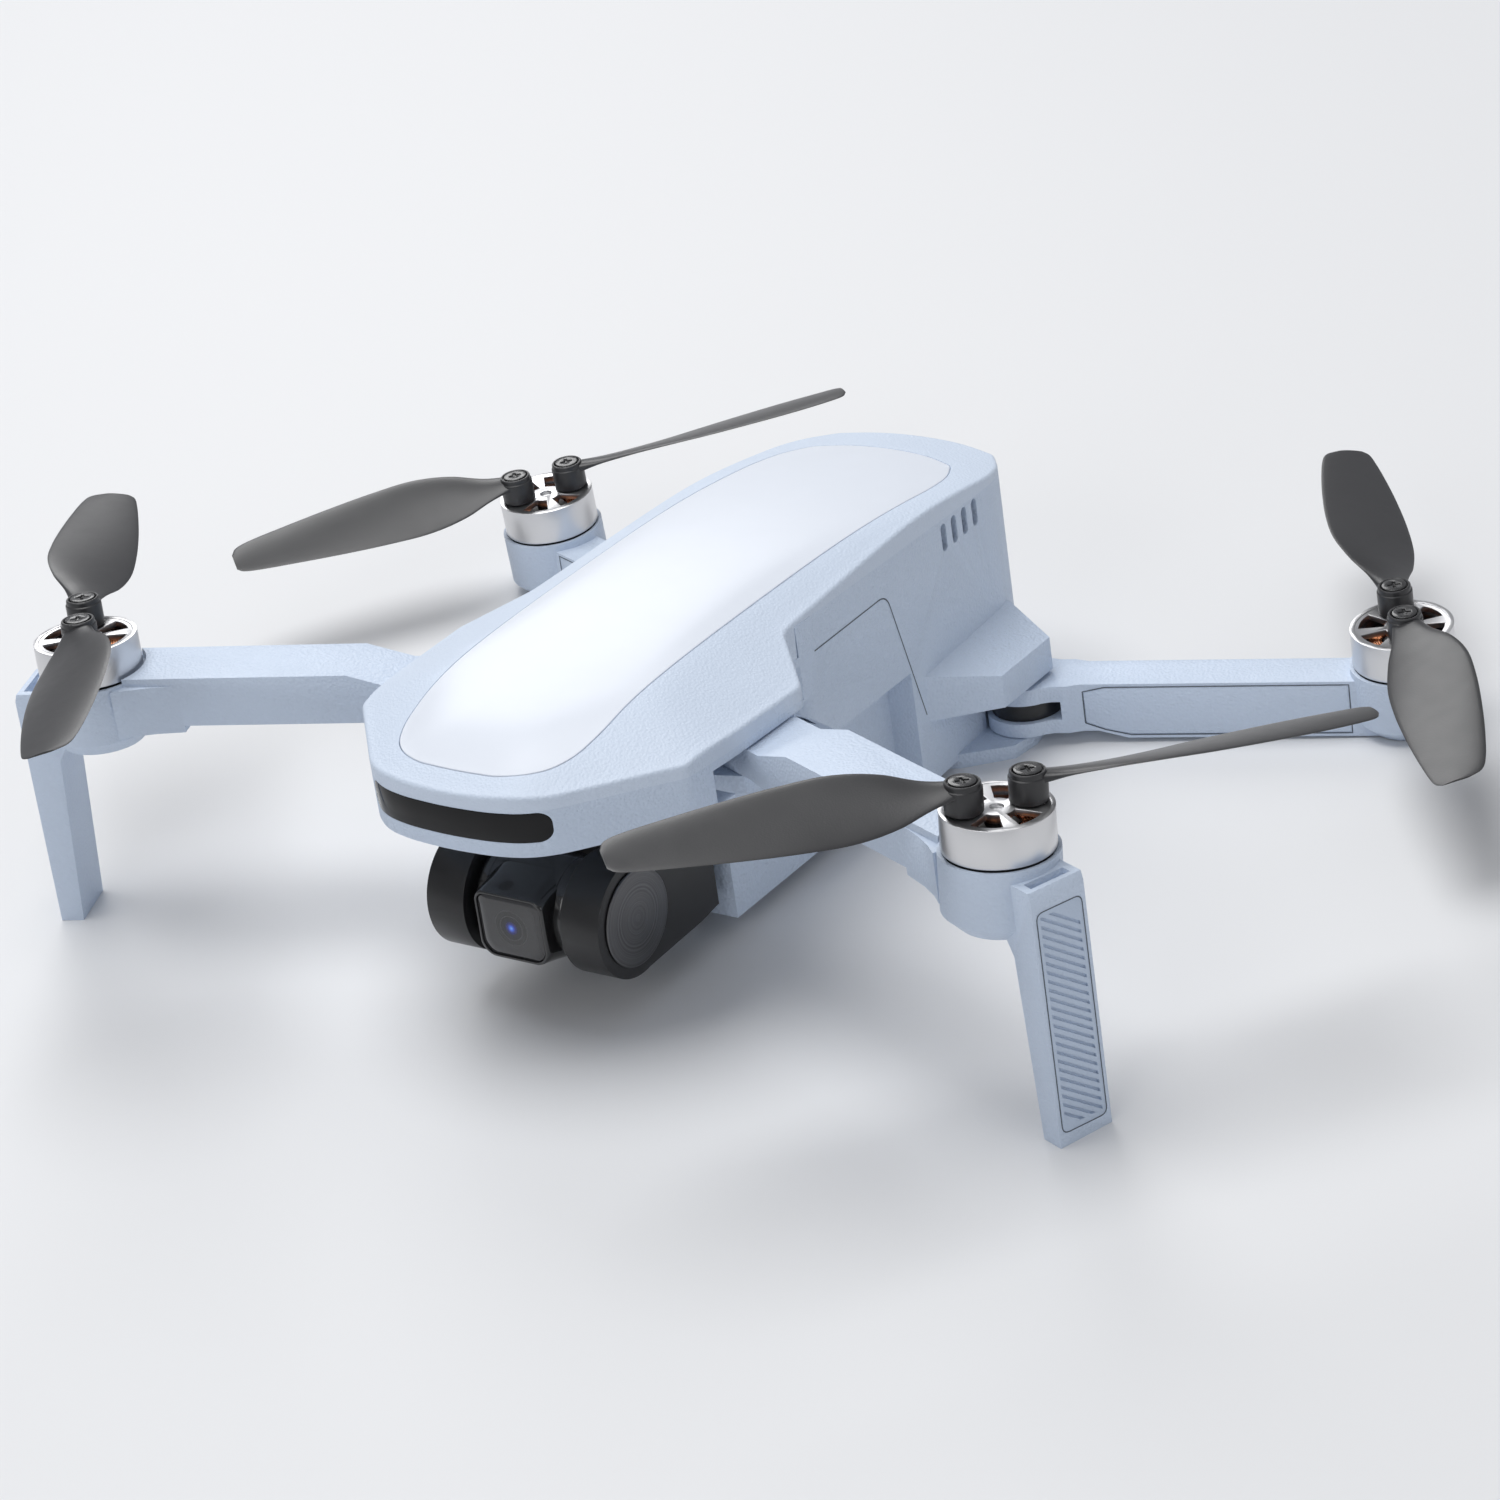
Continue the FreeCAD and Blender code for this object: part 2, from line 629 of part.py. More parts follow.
def front_arm():
    length = arm_run("front")[0]
    z0, z1 = FRONT_ARM_Z
    beam = side_profile(
        [(0.0, z0), (9.0, z0), (13.0, FRONT_BOTTOM_Z), (length, FRONT_BOTTOM_Z),
         (length, FRONT_TOP_Z), (20.0, FRONT_TOP_Z), (12.0, z1), (0.0, z1)],
        FRONT_HALF_WIDTH,
    )
    knuckle = rod(FRONT_HALF_WIDTH, z0, z1)
    leg = side_profile([(length + s, z) for s, z in LEG_PROFILE], LEG_HALF_WIDTH)
    pocket = block(length + 9.6, length + 11.4, -3.6, 3.6, 40.0, 46.0)
    neck = flare("front", FRONT_HALF_WIDTH, FRONT_BOTTOM_Z - 1.2, FRONT_TOP_Z - 1.4)
    parts = [along_arm(s, "front") for s in (beam, knuckle, leg, neck)] + [pod("front")]
    clear_bell = on_motor(rod(BELL_R + 0.6, POD_TOP + 0.2, 8.0), "front", "left")
    cuts = [pod_seat("front"), clear_bell, leg_recess(0.8), along_arm(pocket, "front"), ground_block()]
    pin_bore = rod(PIN_R + PIN_CLEARANCE, 0.0, 80.0, *FRONT_PIVOT)
    return union(parts).cut(cuts + [pin_bore])


def leg_panel():
    """The ribbed antenna cover on the outer face of the leg."""
    plate = leg_recess(0.8)
    length = arm_run("front")[0]
    trim = side_profile([(length + s, z) for s, z in LEG_PROFILE], LEG_HALF_WIDTH)
    plate = plate.common(along_arm(trim, "front"))
    grooves = []
    for i in range(RIBS):
        z = 3.0 + i * RIB_PITCH
        groove = block(length + 12.9 - RIB_DEPTH, length + 14.0, -5.2, 5.2, -0.24, 0.24)
        groove.rotate(Vector(length, 0, 0), Vector(1, 0, 0), RIB_SLOPE)
        groove.translate(Vector(0, 0, z))
        inner = block(length, length + 20.0, -3.5, 3.5, 3.2, 38.6)
        grooves.append(along_arm(groove.common(inner), "front"))
    return plate.cut(grooves)


def rear_arm():
    length = arm_run("rear")[0]
    beam = side_profile(
        [(13.0, EAR_TOP + 0.3), (18.0, REAR_BOTTOM_Z), (length, REAR_BOTTOM_Z),
         (length, REAR_TOP_Z), (13.0, REAR_TOP_Z)],
        REAR_HALF_WIDTH,
    )
    half = [
        (0.0, KNUCKLE_R), (5.5, COLLAR_HALF_WIDTH), (8.0, COLLAR_HALF_WIDTH),
        (10.5, REAR_HALF_WIDTH), (14.0, REAR_HALF_WIDTH),
    ]
    collar_plan = [(s, -w) for s, w in half] + [(s, w) for s, w in reversed(half)]
    collar = prism(collar_plan, EAR_TOP + 0.3, REAR_TOP_Z)
    knuckle = rod(KNUCKLE_R, EAR_TOP + 0.3, REAR_TOP_Z)
    slot = block(-10.0, 7.0, -12.0, 12.0, *HINGE_SLOT_Z)
    parts = [along_arm(s, "rear") for s in (beam, collar, knuckle)] + [pod("rear")]
    clear_bell = on_motor(rod(BELL_R + 0.6, POD_TOP + 0.2, 8.0), "rear", "left")
    pin_bore = rod(PIN_R + PIN_CLEARANCE, 0.0, 80.0, *REAR_PIVOT)
    cuts = [along_arm(slot, "rear"), pod_seat("rear"), clear_bell, rear_panel_bed(), pin_bore]
    return union(parts).cut(cuts)


def rear_panel_bed():
    """The bed of the cover on the front face of the rear arm."""
    outline = [(10.8, 7.9), (14.2, 6.6), (18.5, 5.6), (56.3, 5.6), (56.3, 14.6), (14.6, 14.6), (10.8, 13.8)]
    bed = prism_y(outline, -REAR_HALF_WIDTH - 3.0, -REAR_HALF_WIDTH + 0.6)
    return along_arm(bed, "rear")


def rear_arm_panel():
    trim = block(9.0, 60.0, -REAR_HALF_WIDTH, 0.0, 0.0, 30.0)
    return rear_panel_bed().common(along_arm(trim, "rear"))


def rear_washer():
    """The dark detent ring in the slot of the rear arm's knuckle."""
    low, high = HINGE_SLOT_Z
    return ring(6.2, PIN_R, low + 0.05, high - 0.05, *REAR_PIVOT)


def hinge_pins():
    front = rod(PIN_R - 0.01, FRONT_LUG_Z[0] + 0.3, SLOT_TOP + 1.1, *FRONT_PIVOT)
    rear = rod(PIN_R - 0.01, 4.7, 19.8, *REAR_PIVOT)
    return separate(both_sides(front) + both_sides(rear))


# ---- camera -------------------------------------------------------------------------------
CAMERA_HALF = 8.7
TILT_SHAFT_R = 1.5


def camera_body():
    core = rod_x(8.3, -CAMERA_HALF, CAMERA_HALF, GIMBAL_Y, GIMBAL_Z)
    snout = block(-6.8, 6.8, GIMBAL_Y - 10.4, GIMBAL_Y, GIMBAL_Z - 5.9, GIMBAL_Z + 5.9)
    shaft = rod_x(TILT_SHAFT_R, -11.5, 11.5, GIMBAL_Y, GIMBAL_Z)
    pocket = block(-6.2, 6.2, GIMBAL_Y - 12.0, GIMBAL_Y - 9.8, GIMBAL_Z - 5.3, GIMBAL_Z + 5.3)
    barrel_hole = Part.makeCylinder(3.5, 7.0, Vector(0, GIMBAL_Y - 10.5, GIMBAL_Z), Vector(0, 1, 0))
    return union([core, snout, shaft]).cut([pocket, barrel_hole])


def camera_glass():
    return block(-6.1, 6.1, GIMBAL_Y - 10.6, GIMBAL_Y - 9.8, GIMBAL_Z - 5.2, GIMBAL_Z + 5.2)


def camera_lens():
    start = Vector(0, GIMBAL_Y - 9.7, GIMBAL_Z)
    back = Vector(0, 1, 0)
    barrel = Part.makeCylinder(3.4, 6.0, start, back)
    mouth = Part.makeCone(2.8, 1.6, 1.4, start, back)
    element = Part.makeSphere(2.2, Vector(0, GIMBAL_Y - 6.6, GIMBAL_Z))
    return barrel.cut(mouth).fuse(element.common(barrel)).removeSplitter()


def gimbal_bracket():
    """A fork with a motor housing on each side, hung from the belly's front wall."""
    sides = []
    for sign in (1.0, -1.0):
        x0, x1 = sorted((sign * 9.6, sign * 17.0))
        a0, a1 = sorted((sign * 12.2, sign * 17.0))
        housing = rod_x(HOUSING_R, x0, x1, GIMBAL_Y, GIMBAL_Z)
        arm = prism_x(
            [(GIMBAL_Y, GIMBAL_Z - 9.9), (-44.0, 8.4), (-39.4, 9.0), (-39.4, 30.0),
             (-46.0, 27.0), (GIMBAL_Y, GIMBAL_Z + 9.9)],
            a0, a1,
        )
        bore = rod_x(TILT_SHAFT_R + PIN_CLEARANCE, x0 - 1, x0 + 3.4, GIMBAL_Y, GIMBAL_Z)
        if sign < 0:
            bore = rod_x(TILT_SHAFT_R + PIN_CLEARANCE, x1 - 3.4, x1 + 1, GIMBAL_Y, GIMBAL_Z)
        sides.append(housing.fuse(arm).cut(bore))
    back = block(-17.0, 17.0, -41.0, -39.0, 9.0, 33.0)
    return union(sides + [back])


def gimbal_caps():
    """Spun metal discs that close the two motor housings."""
    cap = rod_x(8.1, 17.0, 17.5, GIMBAL_Y, GIMBAL_Z)
    return separate(both_sides(cap))


def gimbal_dampers():
    balls = []
    for x in (-12.0, 12.0):
        for z in (12.0, 29.0):
            start = Vector(x, -39.0, z)
            waist = Part.makeCylinder(1.3, 3.0, start, Vector(0, 1, 0))
            bulge = Part.makeCylinder(2.2, 1.6, start + Vector(0, 0.7, 0), Vector(0, 1, 0))
            balls.append(waist.fuse(bulge))
    return separate(balls)


# ---- battery and electronics -----------------------------------------------------------------
LIGHT_Y = 58.1
BUTTON_PLACE = (0.0, 25.5)    # x, z on the battery's rear face


def button_axis_rod(r, y0, y1, x=None, z=None):
    x = BUTTON_PLACE[0] if x is None else x
    z = BUTTON_PLACE[1] if z is None else z
    return Part.makeCylinder(r, y1 - y0, Vector(x, y0, z), Vector(0, 1, 0))


def battery_case():
    z0, z1 = BATTERY_Z
    case = block(-BATTERY_HALF, BATTERY_HALF, BATTERY_START, BATTERY_BACK, z0, z1)
    room = block(-BATTERY_HALF + 1.2, BATTERY_HALF - 1.2, BATTERY_START + 1.2, 54.0, z0 + 1.2, z1 - 1.2)
    button_well = button_axis_rod(3.3, 56.9, 70.0)
    latch_well = block(-6.2, 6.2, 56.8, 70.0, 29.4, 40.0)
    light_wells = [button_axis_rod(0.8, LIGHT_Y, 70.0, x, 17.5) for x in (-6.0, -2.0, 2.0, 6.0)]
    grip = prism_x([(58.6, 10.0), (62.0, 9.0), (62.0, 13.5), (58.6, 12.5)], -9.0, 9.0)
    tail = round_prism(inset(whole(REAR_HALF), -0.5), CORNER_R, 0.0, TALL)
    return case.common(tail).cut([room, button_well, latch_well, grip] + light_wells)


def battery_cells():
    x = BATTERY_HALF - 1.5
    z0, z1 = BATTERY_Z[0] + 1.3, BATTERY_Z[1] - 1.3
    middle = (z0 + z1) / 2
    lower = block(-x, x, BATTERY_START + 1.5, 53.0, z0, middle - 0.3)
    upper = block(-x, x, BATTERY_START + 1.5, 53.0, middle + 0.3, z1)
    return separate([lower, upper])


def battery_lights():
    return separate([button_axis_rod(0.78, LIGHT_Y, LIGHT_Y + 0.9, x, 17.5) for x in (-6.0, -2.0, 2.0, 6.0)])


def power_button():
    return button_axis_rod(3.1, 57.9, 60.5)


def battery_latch():
    """A sliding catch whose nose holds the edge of the battery door."""
    pad = block(-6.0, 6.0, 57.1, 59.6, 30.8, 33.8)
    ribs = [block(-4.0 + i * 2.5, -3.4 + i * 2.5, 59.5, 60.2, 31.2, 33.4) for i in range(4)]
    return union([pad] + ribs)


def main_board():
    holes = [rod(2.4, 30.0, 45.0, x, y) for x, y, z in SCREW_PLACES]
    board = block(-14.5, 14.5, -14.0, 48.0, DECK_Z, 37.2).cut(holes)
    chips = [
        block(-6.0, 6.0, 4.0, 16.0, 37.2, 38.8), block(-12.0, -7.5, -8.0, -2.0, 37.2, 38.4),
        block(5.0, 12.0, 22.0, 30.0, 37.2, 38.9), block(-12.0, -4.0, 26.0, 38.0, 37.2, 38.6),
        block(6.0, 12.5, -10.0, 0.0, 37.2, 39.6),
    ]
    return union([board] + chips)


def gps_antenna():
    patch = block(-8.0, 8.0, -56.0, -40.0, 45.4, 48.6)
    board = block(-9.0, 9.0, -57.5, -38.5, 44.4, 45.4)
    feet = [block(x - 1.0, x + 1.0, -54.0, -42.0, SLAB_BOTTOM + WALL, 44.4) for x in (-7.0, 7.0)]
    return union([board, patch] + feet)


def belly_sensors():
    """Downward camera pair behind a window that lies flush in the belly."""
    window = block(-6.0, 6.0, *SENSOR_Y, BELLY_BOTTOM + 0.2, BELLY_BOTTOM + 1.6)
    middle = sum(SENSOR_Y) / 2
    eyes = [rod(2.4, BELLY_BOTTOM + 1.6, BELLY_BOTTOM + 6.0, 0.0, middle + y) for y in (-4.4, 4.4)]
    return union([window] + eyes)


def usb_port():
    shell = block(*PORT_X, 50.1, 56.9, *PORT_Z)
    mouth = block(PORT_X[0] + 0.5, PORT_X[1] - 0.5, 51.5, 58.0, PORT_Z[0] + 0.5, PORT_Z[1] - 0.5)
    return shell.cut(mouth)


def shell_screws():
    """Screws up through the columns of the lower shell into the upper shell's posts."""
    out = []
    for x, y, z in SCREW_PLACES:
        seat = screw_seat(y)
        head = rod(HEAD_R - 0.02, seat - 0.9, seat, x, y)
        out.append(head.fuse(rod(SCREW_R - 0.01, seat - 0.5, z + 3.3, x, y)))
    return separate(out)


# ---- all the nodes --------------------------------------------------------------------------
def build():
    nodes = {
        "upper_shell": upper_shell(), "top_inlay": top_inlay(), "lower_shell": lower_shell(),
        "nose_window": nose_window(), "hinge_pins": hinge_pins(),
        "rear_hinge_washers": separate(both_sides(rear_washer())),
        "gimbal_bracket": gimbal_bracket(), "gimbal_caps": gimbal_caps(),
        "gimbal_dampers": gimbal_dampers(), "camera_body": camera_body(),
        "camera_glass": camera_glass(), "camera_lens": camera_lens(),
        "battery_case": battery_case(), "battery_cells": battery_cells(),
        "battery_lights": battery_lights(), "power_button": power_button(),
        "battery_latch": battery_latch(), "main_board": main_board(),
        "gps_antenna": gps_antenna(), "belly_sensors": belly_sensors(),
        "usb_port": usb_port(), "shell_screws": shell_screws(),
    }
    left = {
        "front_{}_arm": front_arm(), "front_{}_leg_panel": leg_panel(),
        "rear_{}_arm": rear_arm(), "rear_{}_arm_panel": rear_arm_panel(),
    }
    for name, shape in left.items():
        nodes[name.format("left")] = shape
        nodes[name.format("right")] = mirrored(shape)
    pieces = {
        "stator": motor_stator(), "windings": motor_windings(), "bell": motor_bell(),
        "magnets": motor_magnets(), "hub_screws": hub_screws(),
    }
    for end in ("front", "rear"):
        for side in ("left", "right"):
            turn = blade_axis(end, side)
            for piece, shape in pieces.items():
                nodes[f"{end}_{side}_{piece}"] = on_motor(shape, end, side, turn)
            for letter, shape in propeller(end, side).items():
                nodes[f"{end}_{side}_blade_{letter}"] = shape
    return {name: to_ground(shape) for name, shape in nodes.items()}


os.makedirs("parts", exist_ok=True)
for node, shape in build().items():
    shape.exportStep(f"parts/{node}.step")
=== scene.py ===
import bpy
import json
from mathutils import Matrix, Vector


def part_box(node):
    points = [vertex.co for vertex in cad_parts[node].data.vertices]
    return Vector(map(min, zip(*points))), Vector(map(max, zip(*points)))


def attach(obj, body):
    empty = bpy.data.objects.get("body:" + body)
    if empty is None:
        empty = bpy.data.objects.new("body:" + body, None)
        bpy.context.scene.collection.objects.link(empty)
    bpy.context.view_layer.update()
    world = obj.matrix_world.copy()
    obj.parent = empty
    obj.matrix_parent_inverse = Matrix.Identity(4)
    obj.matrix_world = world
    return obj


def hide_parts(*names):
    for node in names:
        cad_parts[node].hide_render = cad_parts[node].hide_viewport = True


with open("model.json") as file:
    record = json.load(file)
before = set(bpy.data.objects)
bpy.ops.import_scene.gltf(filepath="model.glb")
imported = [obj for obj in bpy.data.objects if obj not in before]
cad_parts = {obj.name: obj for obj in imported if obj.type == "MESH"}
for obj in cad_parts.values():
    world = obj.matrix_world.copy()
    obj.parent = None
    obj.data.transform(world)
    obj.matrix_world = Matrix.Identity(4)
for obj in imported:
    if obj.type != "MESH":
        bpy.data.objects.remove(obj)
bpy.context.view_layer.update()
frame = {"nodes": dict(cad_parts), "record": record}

import json
import math
import bpy
import bmesh
from mathutils import Matrix, Vector
from mathutils.geometry import delaunay_2d_cdt

# Everything is in metres in the CAD frame.  Sizes below are in millimetres in the body frame
# (shell rim level, nose to -Y); BODY turns them to the way the aircraft stands on its legs.
MM = 0.001
PITCH = math.radians(-2.1)
LEG_Y = -70.0
ROW_SHIFT_Y = -1.58
BODY = (
    Matrix.Scale(MM, 4)
    @ Matrix.Translation((0, ROW_SHIFT_Y, 0))
    @ Matrix.Translation((0, LEG_Y, 0))
    @ Matrix.Rotation(PITCH, 4, "X")
    @ Matrix.Translation((0, -LEG_Y, 0))
)
SIDES = (("left", 1.0), ("right", -1.0))
ENDS = ("front", "rear")
BODY_OF = {node: body for body, nodes in frame["record"]["behaviour"]["bodies"].items() for node in nodes}
SLOT_OF = {entry["node"]: entry["material_slot"] for entry in frame["record"]["subparts"]}


# ---------------------------------------------------------------- materials
def new_material(name):
    mat = bpy.data.materials.new(name)
    mat.use_nodes = True
    nodes, links = mat.node_tree.nodes, mat.node_tree.links
    shader = next(n for n in nodes if n.type == "BSDF_PRINCIPLED")
    return mat, nodes, links, shader


def object_coords(nodes):
    return nodes.new("ShaderNodeTexCoord").outputs["Object"]


def noise(nodes, links, coords, scale, detail=3.0):
    """Noise with features about scale millimetres across."""
    tex = nodes.new("ShaderNodeTexNoise")
    tex.inputs["Scale"].default_value = 1.0 / (scale * MM)
    tex.inputs["Detail"].default_value = detail
    links.new(coords, tex.inputs["Vector"])
    return tex.outputs["Fac"]


def spread(nodes, links, value, low, high):
    """Maps 0..1 to low..high."""
    node = nodes.new("ShaderNodeMapRange")
    node.inputs["To Min"].default_value = low
    node.inputs["To Max"].default_value = high
    links.new(value, node.inputs["Value"])
    return node.outputs["Result"]


def mixed_colour(nodes, links, factor, dark, light):
    mix = nodes.new("ShaderNodeMix")
    mix.data_type = "RGBA"
    mix.inputs[6].default_value = (*dark, 1)
    mix.inputs[7].default_value = (*light, 1)
    links.new(factor, mix.inputs[0])
    return mix.outputs[2]


def bump(nodes, links, height, distance, strength, normal=None):
    node = nodes.new("ShaderNodeBump")
    node.inputs["Distance"].default_value = distance * MM
    node.inputs["Strength"].default_value = strength
    links.new(height, node.inputs["Height"])
    if normal is not None:
        links.new(normal, node.inputs["Normal"])
    return node.outputs["Normal"]


def painted_edge_highlight(nodes, links, colour, lighter, amount):
    """A slightly paler tone on sharp convex edges: a painted highlight along them."""
    point = nodes.new("ShaderNodeNewGeometry").outputs["Pointiness"]
    ramp = nodes.new("ShaderNodeMapRange")
    ramp.inputs["From Min"].default_value = 0.52
    ramp.inputs["From Max"].default_value = 0.60
    ramp.inputs["To Max"].default_value = amount
    links.new(point, ramp.inputs["Value"])
    mix = nodes.new("ShaderNodeMix")
    mix.data_type = "RGBA"
    mix.inputs[7].default_value = (*lighter, 1)
    links.new(colour, mix.inputs[6])
    links.new(ramp.outputs["Result"], mix.inputs[0])
    return mix.outputs[2]


def leather_plastic(name, colour, grain, depth, rough, tint=0.03):
    """Moulded plastic with a fine pebbled grain; grain is the pebble size in millimetres."""
    mat, nodes, links, shader = new_material(name)
    coords = object_coords(nodes)
    dark = [c * (1 - tint) for c in colour]
    light = [min(1.0, c * (1 + tint)) for c in colour]
    tone = mixed_colour(nodes, links, noise(nodes, links, coords, 14.0, 2.0), dark, light)
    # base colour with paler sharp edges: a painted edge highlight
    links.new(
        painted_edge_highlight(nodes, links, tone, [min(1.0, c * 1.12) for c in colour], 0.35),
        shader.inputs["Base Color"],
    )
    links.new(
        spread(nodes, links, noise(nodes, links, coords, 6.0), rough - 0.05, rough + 0.06),
        shader.inputs["Roughness"],
    )
    pebbles = nodes.new("ShaderNodeTexVoronoi")
    pebbles.feature = "SMOOTH_F1"
    pebbles.inputs["Scale"].default_value = 1.0 / (grain * MM)
    pebbles.inputs["Smoothness"].default_value = 0.6
    links.new(coords, pebbles.inputs["Vector"])
    coarse = bump(nodes, links, pebbles.outputs["Distance"], 0.30, depth)
    fine = bump(nodes, links, noise(nodes, links, coords, grain * 0.45, 2.0), 0.05, depth * 0.7, coarse)
    links.new(fine, shader.inputs["Normal"])
    shader.inputs["Specular IOR Level"].default_value = 0.45
    return mat


def satin_plastic(name, colour, rough, speckle=0.4, depth=0.12, tint=0.04, coat=0.0):
    mat, nodes, links, shader = new_material(name)
    coords = object_coords(nodes)
    dark = [c * (1 - tint) for c in colour]
    light = [min(1.0, c * (1 + tint)) for c in colour]
    tone = mixed_colour(nodes, links, noise(nodes, links, coords, 9.0, 2.0), dark, light)
    # base colour with paler sharp edges: a painted edge highlight
    links.new(
        painted_edge_highlight(nodes, links, tone, [min(1.0, c * 1.2 + 0.01) for c in colour], 0.3),
        shader.inputs["Base Color"],
    )
    links.new(
        spread(nodes, links, noise(nodes, links, coords, 3.0), rough - 0.04, rough + 0.05),
        shader.inputs["Roughness"],
    )
    links.new(
        bump(nodes, links, noise(nodes, links, coords, speckle, 2.0), 0.03, depth),
        shader.inputs["Normal"],
    )
    shader.inputs["Coat Weight"].default_value = coat
    shader.inputs["Coat Roughness"].default_value = 0.08
    return mat


def turned_metal(name, colour, rough, lines=0.22, anisotropy=0.5, axis="Z"):
    """Lathe-turned metal: fine lines round the axis."""
    mat, nodes, links, shader = new_material(name)
    coords = object_coords(nodes)
    stretch = nodes.new("ShaderNodeMapping")
    across = 1.0 / (lines * MM)
    along = 1.0 / (9.0 * MM)
    stretch.inputs["Scale"].default_value = (along, along, across)
    links.new(coords, stretch.inputs["Vector"])
    tex = nodes.new("ShaderNodeTexNoise")
    tex.inputs["Scale"].default_value = 1.0
    tex.inputs["Detail"].default_value = 4.0
    links.new(stretch.outputs["Vector"], tex.inputs["Vector"])
    links.new(
        mixed_colour(nodes, links, noise(nodes, links, coords, 5.0), [c * 0.93 for c in colour], colour),
        shader.inputs["Base Color"],
    )
    links.new(
        spread(nodes, links, tex.outputs["Fac"], rough - 0.06, rough + 0.08),
        shader.inputs["Roughness"],
    )
    links.new(bump(nodes, links, tex.outputs["Fac"], 0.02, 0.18), shader.inputs["Normal"])
    shader.inputs["Metallic"].default_value = 1.0
    shader.inputs["Anisotropic"].default_value = anisotropy
    return mat


def spun_disc(name, colour, centre_y, centre_z):
    """Spun metal disc facing sideways: rings about a centre, in metres."""
    mat, nodes, links, shader = new_material(name)
    coords = object_coords(nodes)
    shift = nodes.new("ShaderNodeVectorMath")
    shift.operation = "SUBTRACT"
    shift.inputs[1].default_value = (0, centre_y, centre_z)
    links.new(coords, shift.inputs[0])
    flat = nodes.new("ShaderNodeVectorMath")
    flat.operation = "MULTIPLY"
    flat.inputs[1].default_value = (0, 1, 1)
    links.new(shift.outputs["Vector"], flat.inputs[0])
    length = nodes.new("ShaderNodeVectorMath")
    length.operation = "LENGTH"
    links.new(flat.outputs["Vector"], length.inputs[0])
    rings = nodes.new("ShaderNodeTexNoise")
    rings.noise_dimensions = "1D"
    rings.inputs["Scale"].default_value = 1.0 / (0.34 * MM)
    rings.inputs["Detail"].default_value = 3.0
    links.new(length.outputs["Value"], rings.inputs["W"])
    links.new(
        mixed_colour(nodes, links, rings.outputs["Fac"], [c * 0.35 for c in colour], colour),
        shader.inputs["Base Color"],
    )
    links.new(bump(nodes, links, rings.outputs["Fac"], 0.08, 0.8), shader.inputs["Normal"])
    shader.inputs["Metallic"].default_value = 1.0
    shader.inputs["Roughness"].default_value = 0.3
    shader.inputs["Anisotropic"].default_value = 0.85
    around = nodes.new("ShaderNodeVectorMath")
    around.operation = "CROSS_PRODUCT"
    around.inputs[1].default_value = (1, 0, 0)
    links.new(flat.outputs["Vector"], around.inputs[0])
    links.new(around.outputs["Vector"], shader.inputs["Tangent"])
    return mat


def dark_glass(name, colour, rough=0.04, coat=0.5):
    mat, nodes, links, shader = new_material(name)
    coords = object_coords(nodes)
    links.new(
        mixed_colour(nodes, links, noise(nodes, links, coords, 8.0), colour, [c * 1.4 for c in colour]),
        shader.inputs["Base Color"],
    )
    links.new(
        spread(nodes, links, noise(nodes, links, coords, 4.0), rough, rough + 0.05),
        shader.inputs["Roughness"],
    )
    shader.inputs["Coat Weight"].default_value = coat
    shader.inputs["Coat Roughness"].default_value = 0.02
    shader.inputs["Specular IOR Level"].default_value = 0.25
    return mat


def wound_copper(name):
    """Enamelled wire laid in close turns, darker in the grooves and paler on the turns: painted shade and
    highlight.
    """
    mat, nodes, links, shader = new_material(name)
    coords = object_coords(nodes)
    wave = nodes.new("ShaderNodeTexWave")
    wave.bands_direction = "DIAGONAL"
    wave.inputs["Scale"].default_value = 1.0 / (0.9 * MM)
    wave.inputs["Distortion"].default_value = 0.6
    links.new(coords, wave.inputs["Vector"])
    # colour follows the wire profile, dark in the grooves and bright on the crests: painted shade and
    # highlight
    links.new(
        mixed_colour(nodes, links, wave.outputs["Fac"], (0.38, 0.10, 0.035), (0.95, 0.42, 0.20)),
        shader.inputs["Base Color"],
    )
    links.new(bump(nodes, links, wave.outputs["Fac"], 0.1, 0.6), shader.inputs["Normal"])
    shader.inputs["Metallic"].default_value = 0.85
    shader.inputs["Roughness"].default_value = 0.28
    return mat


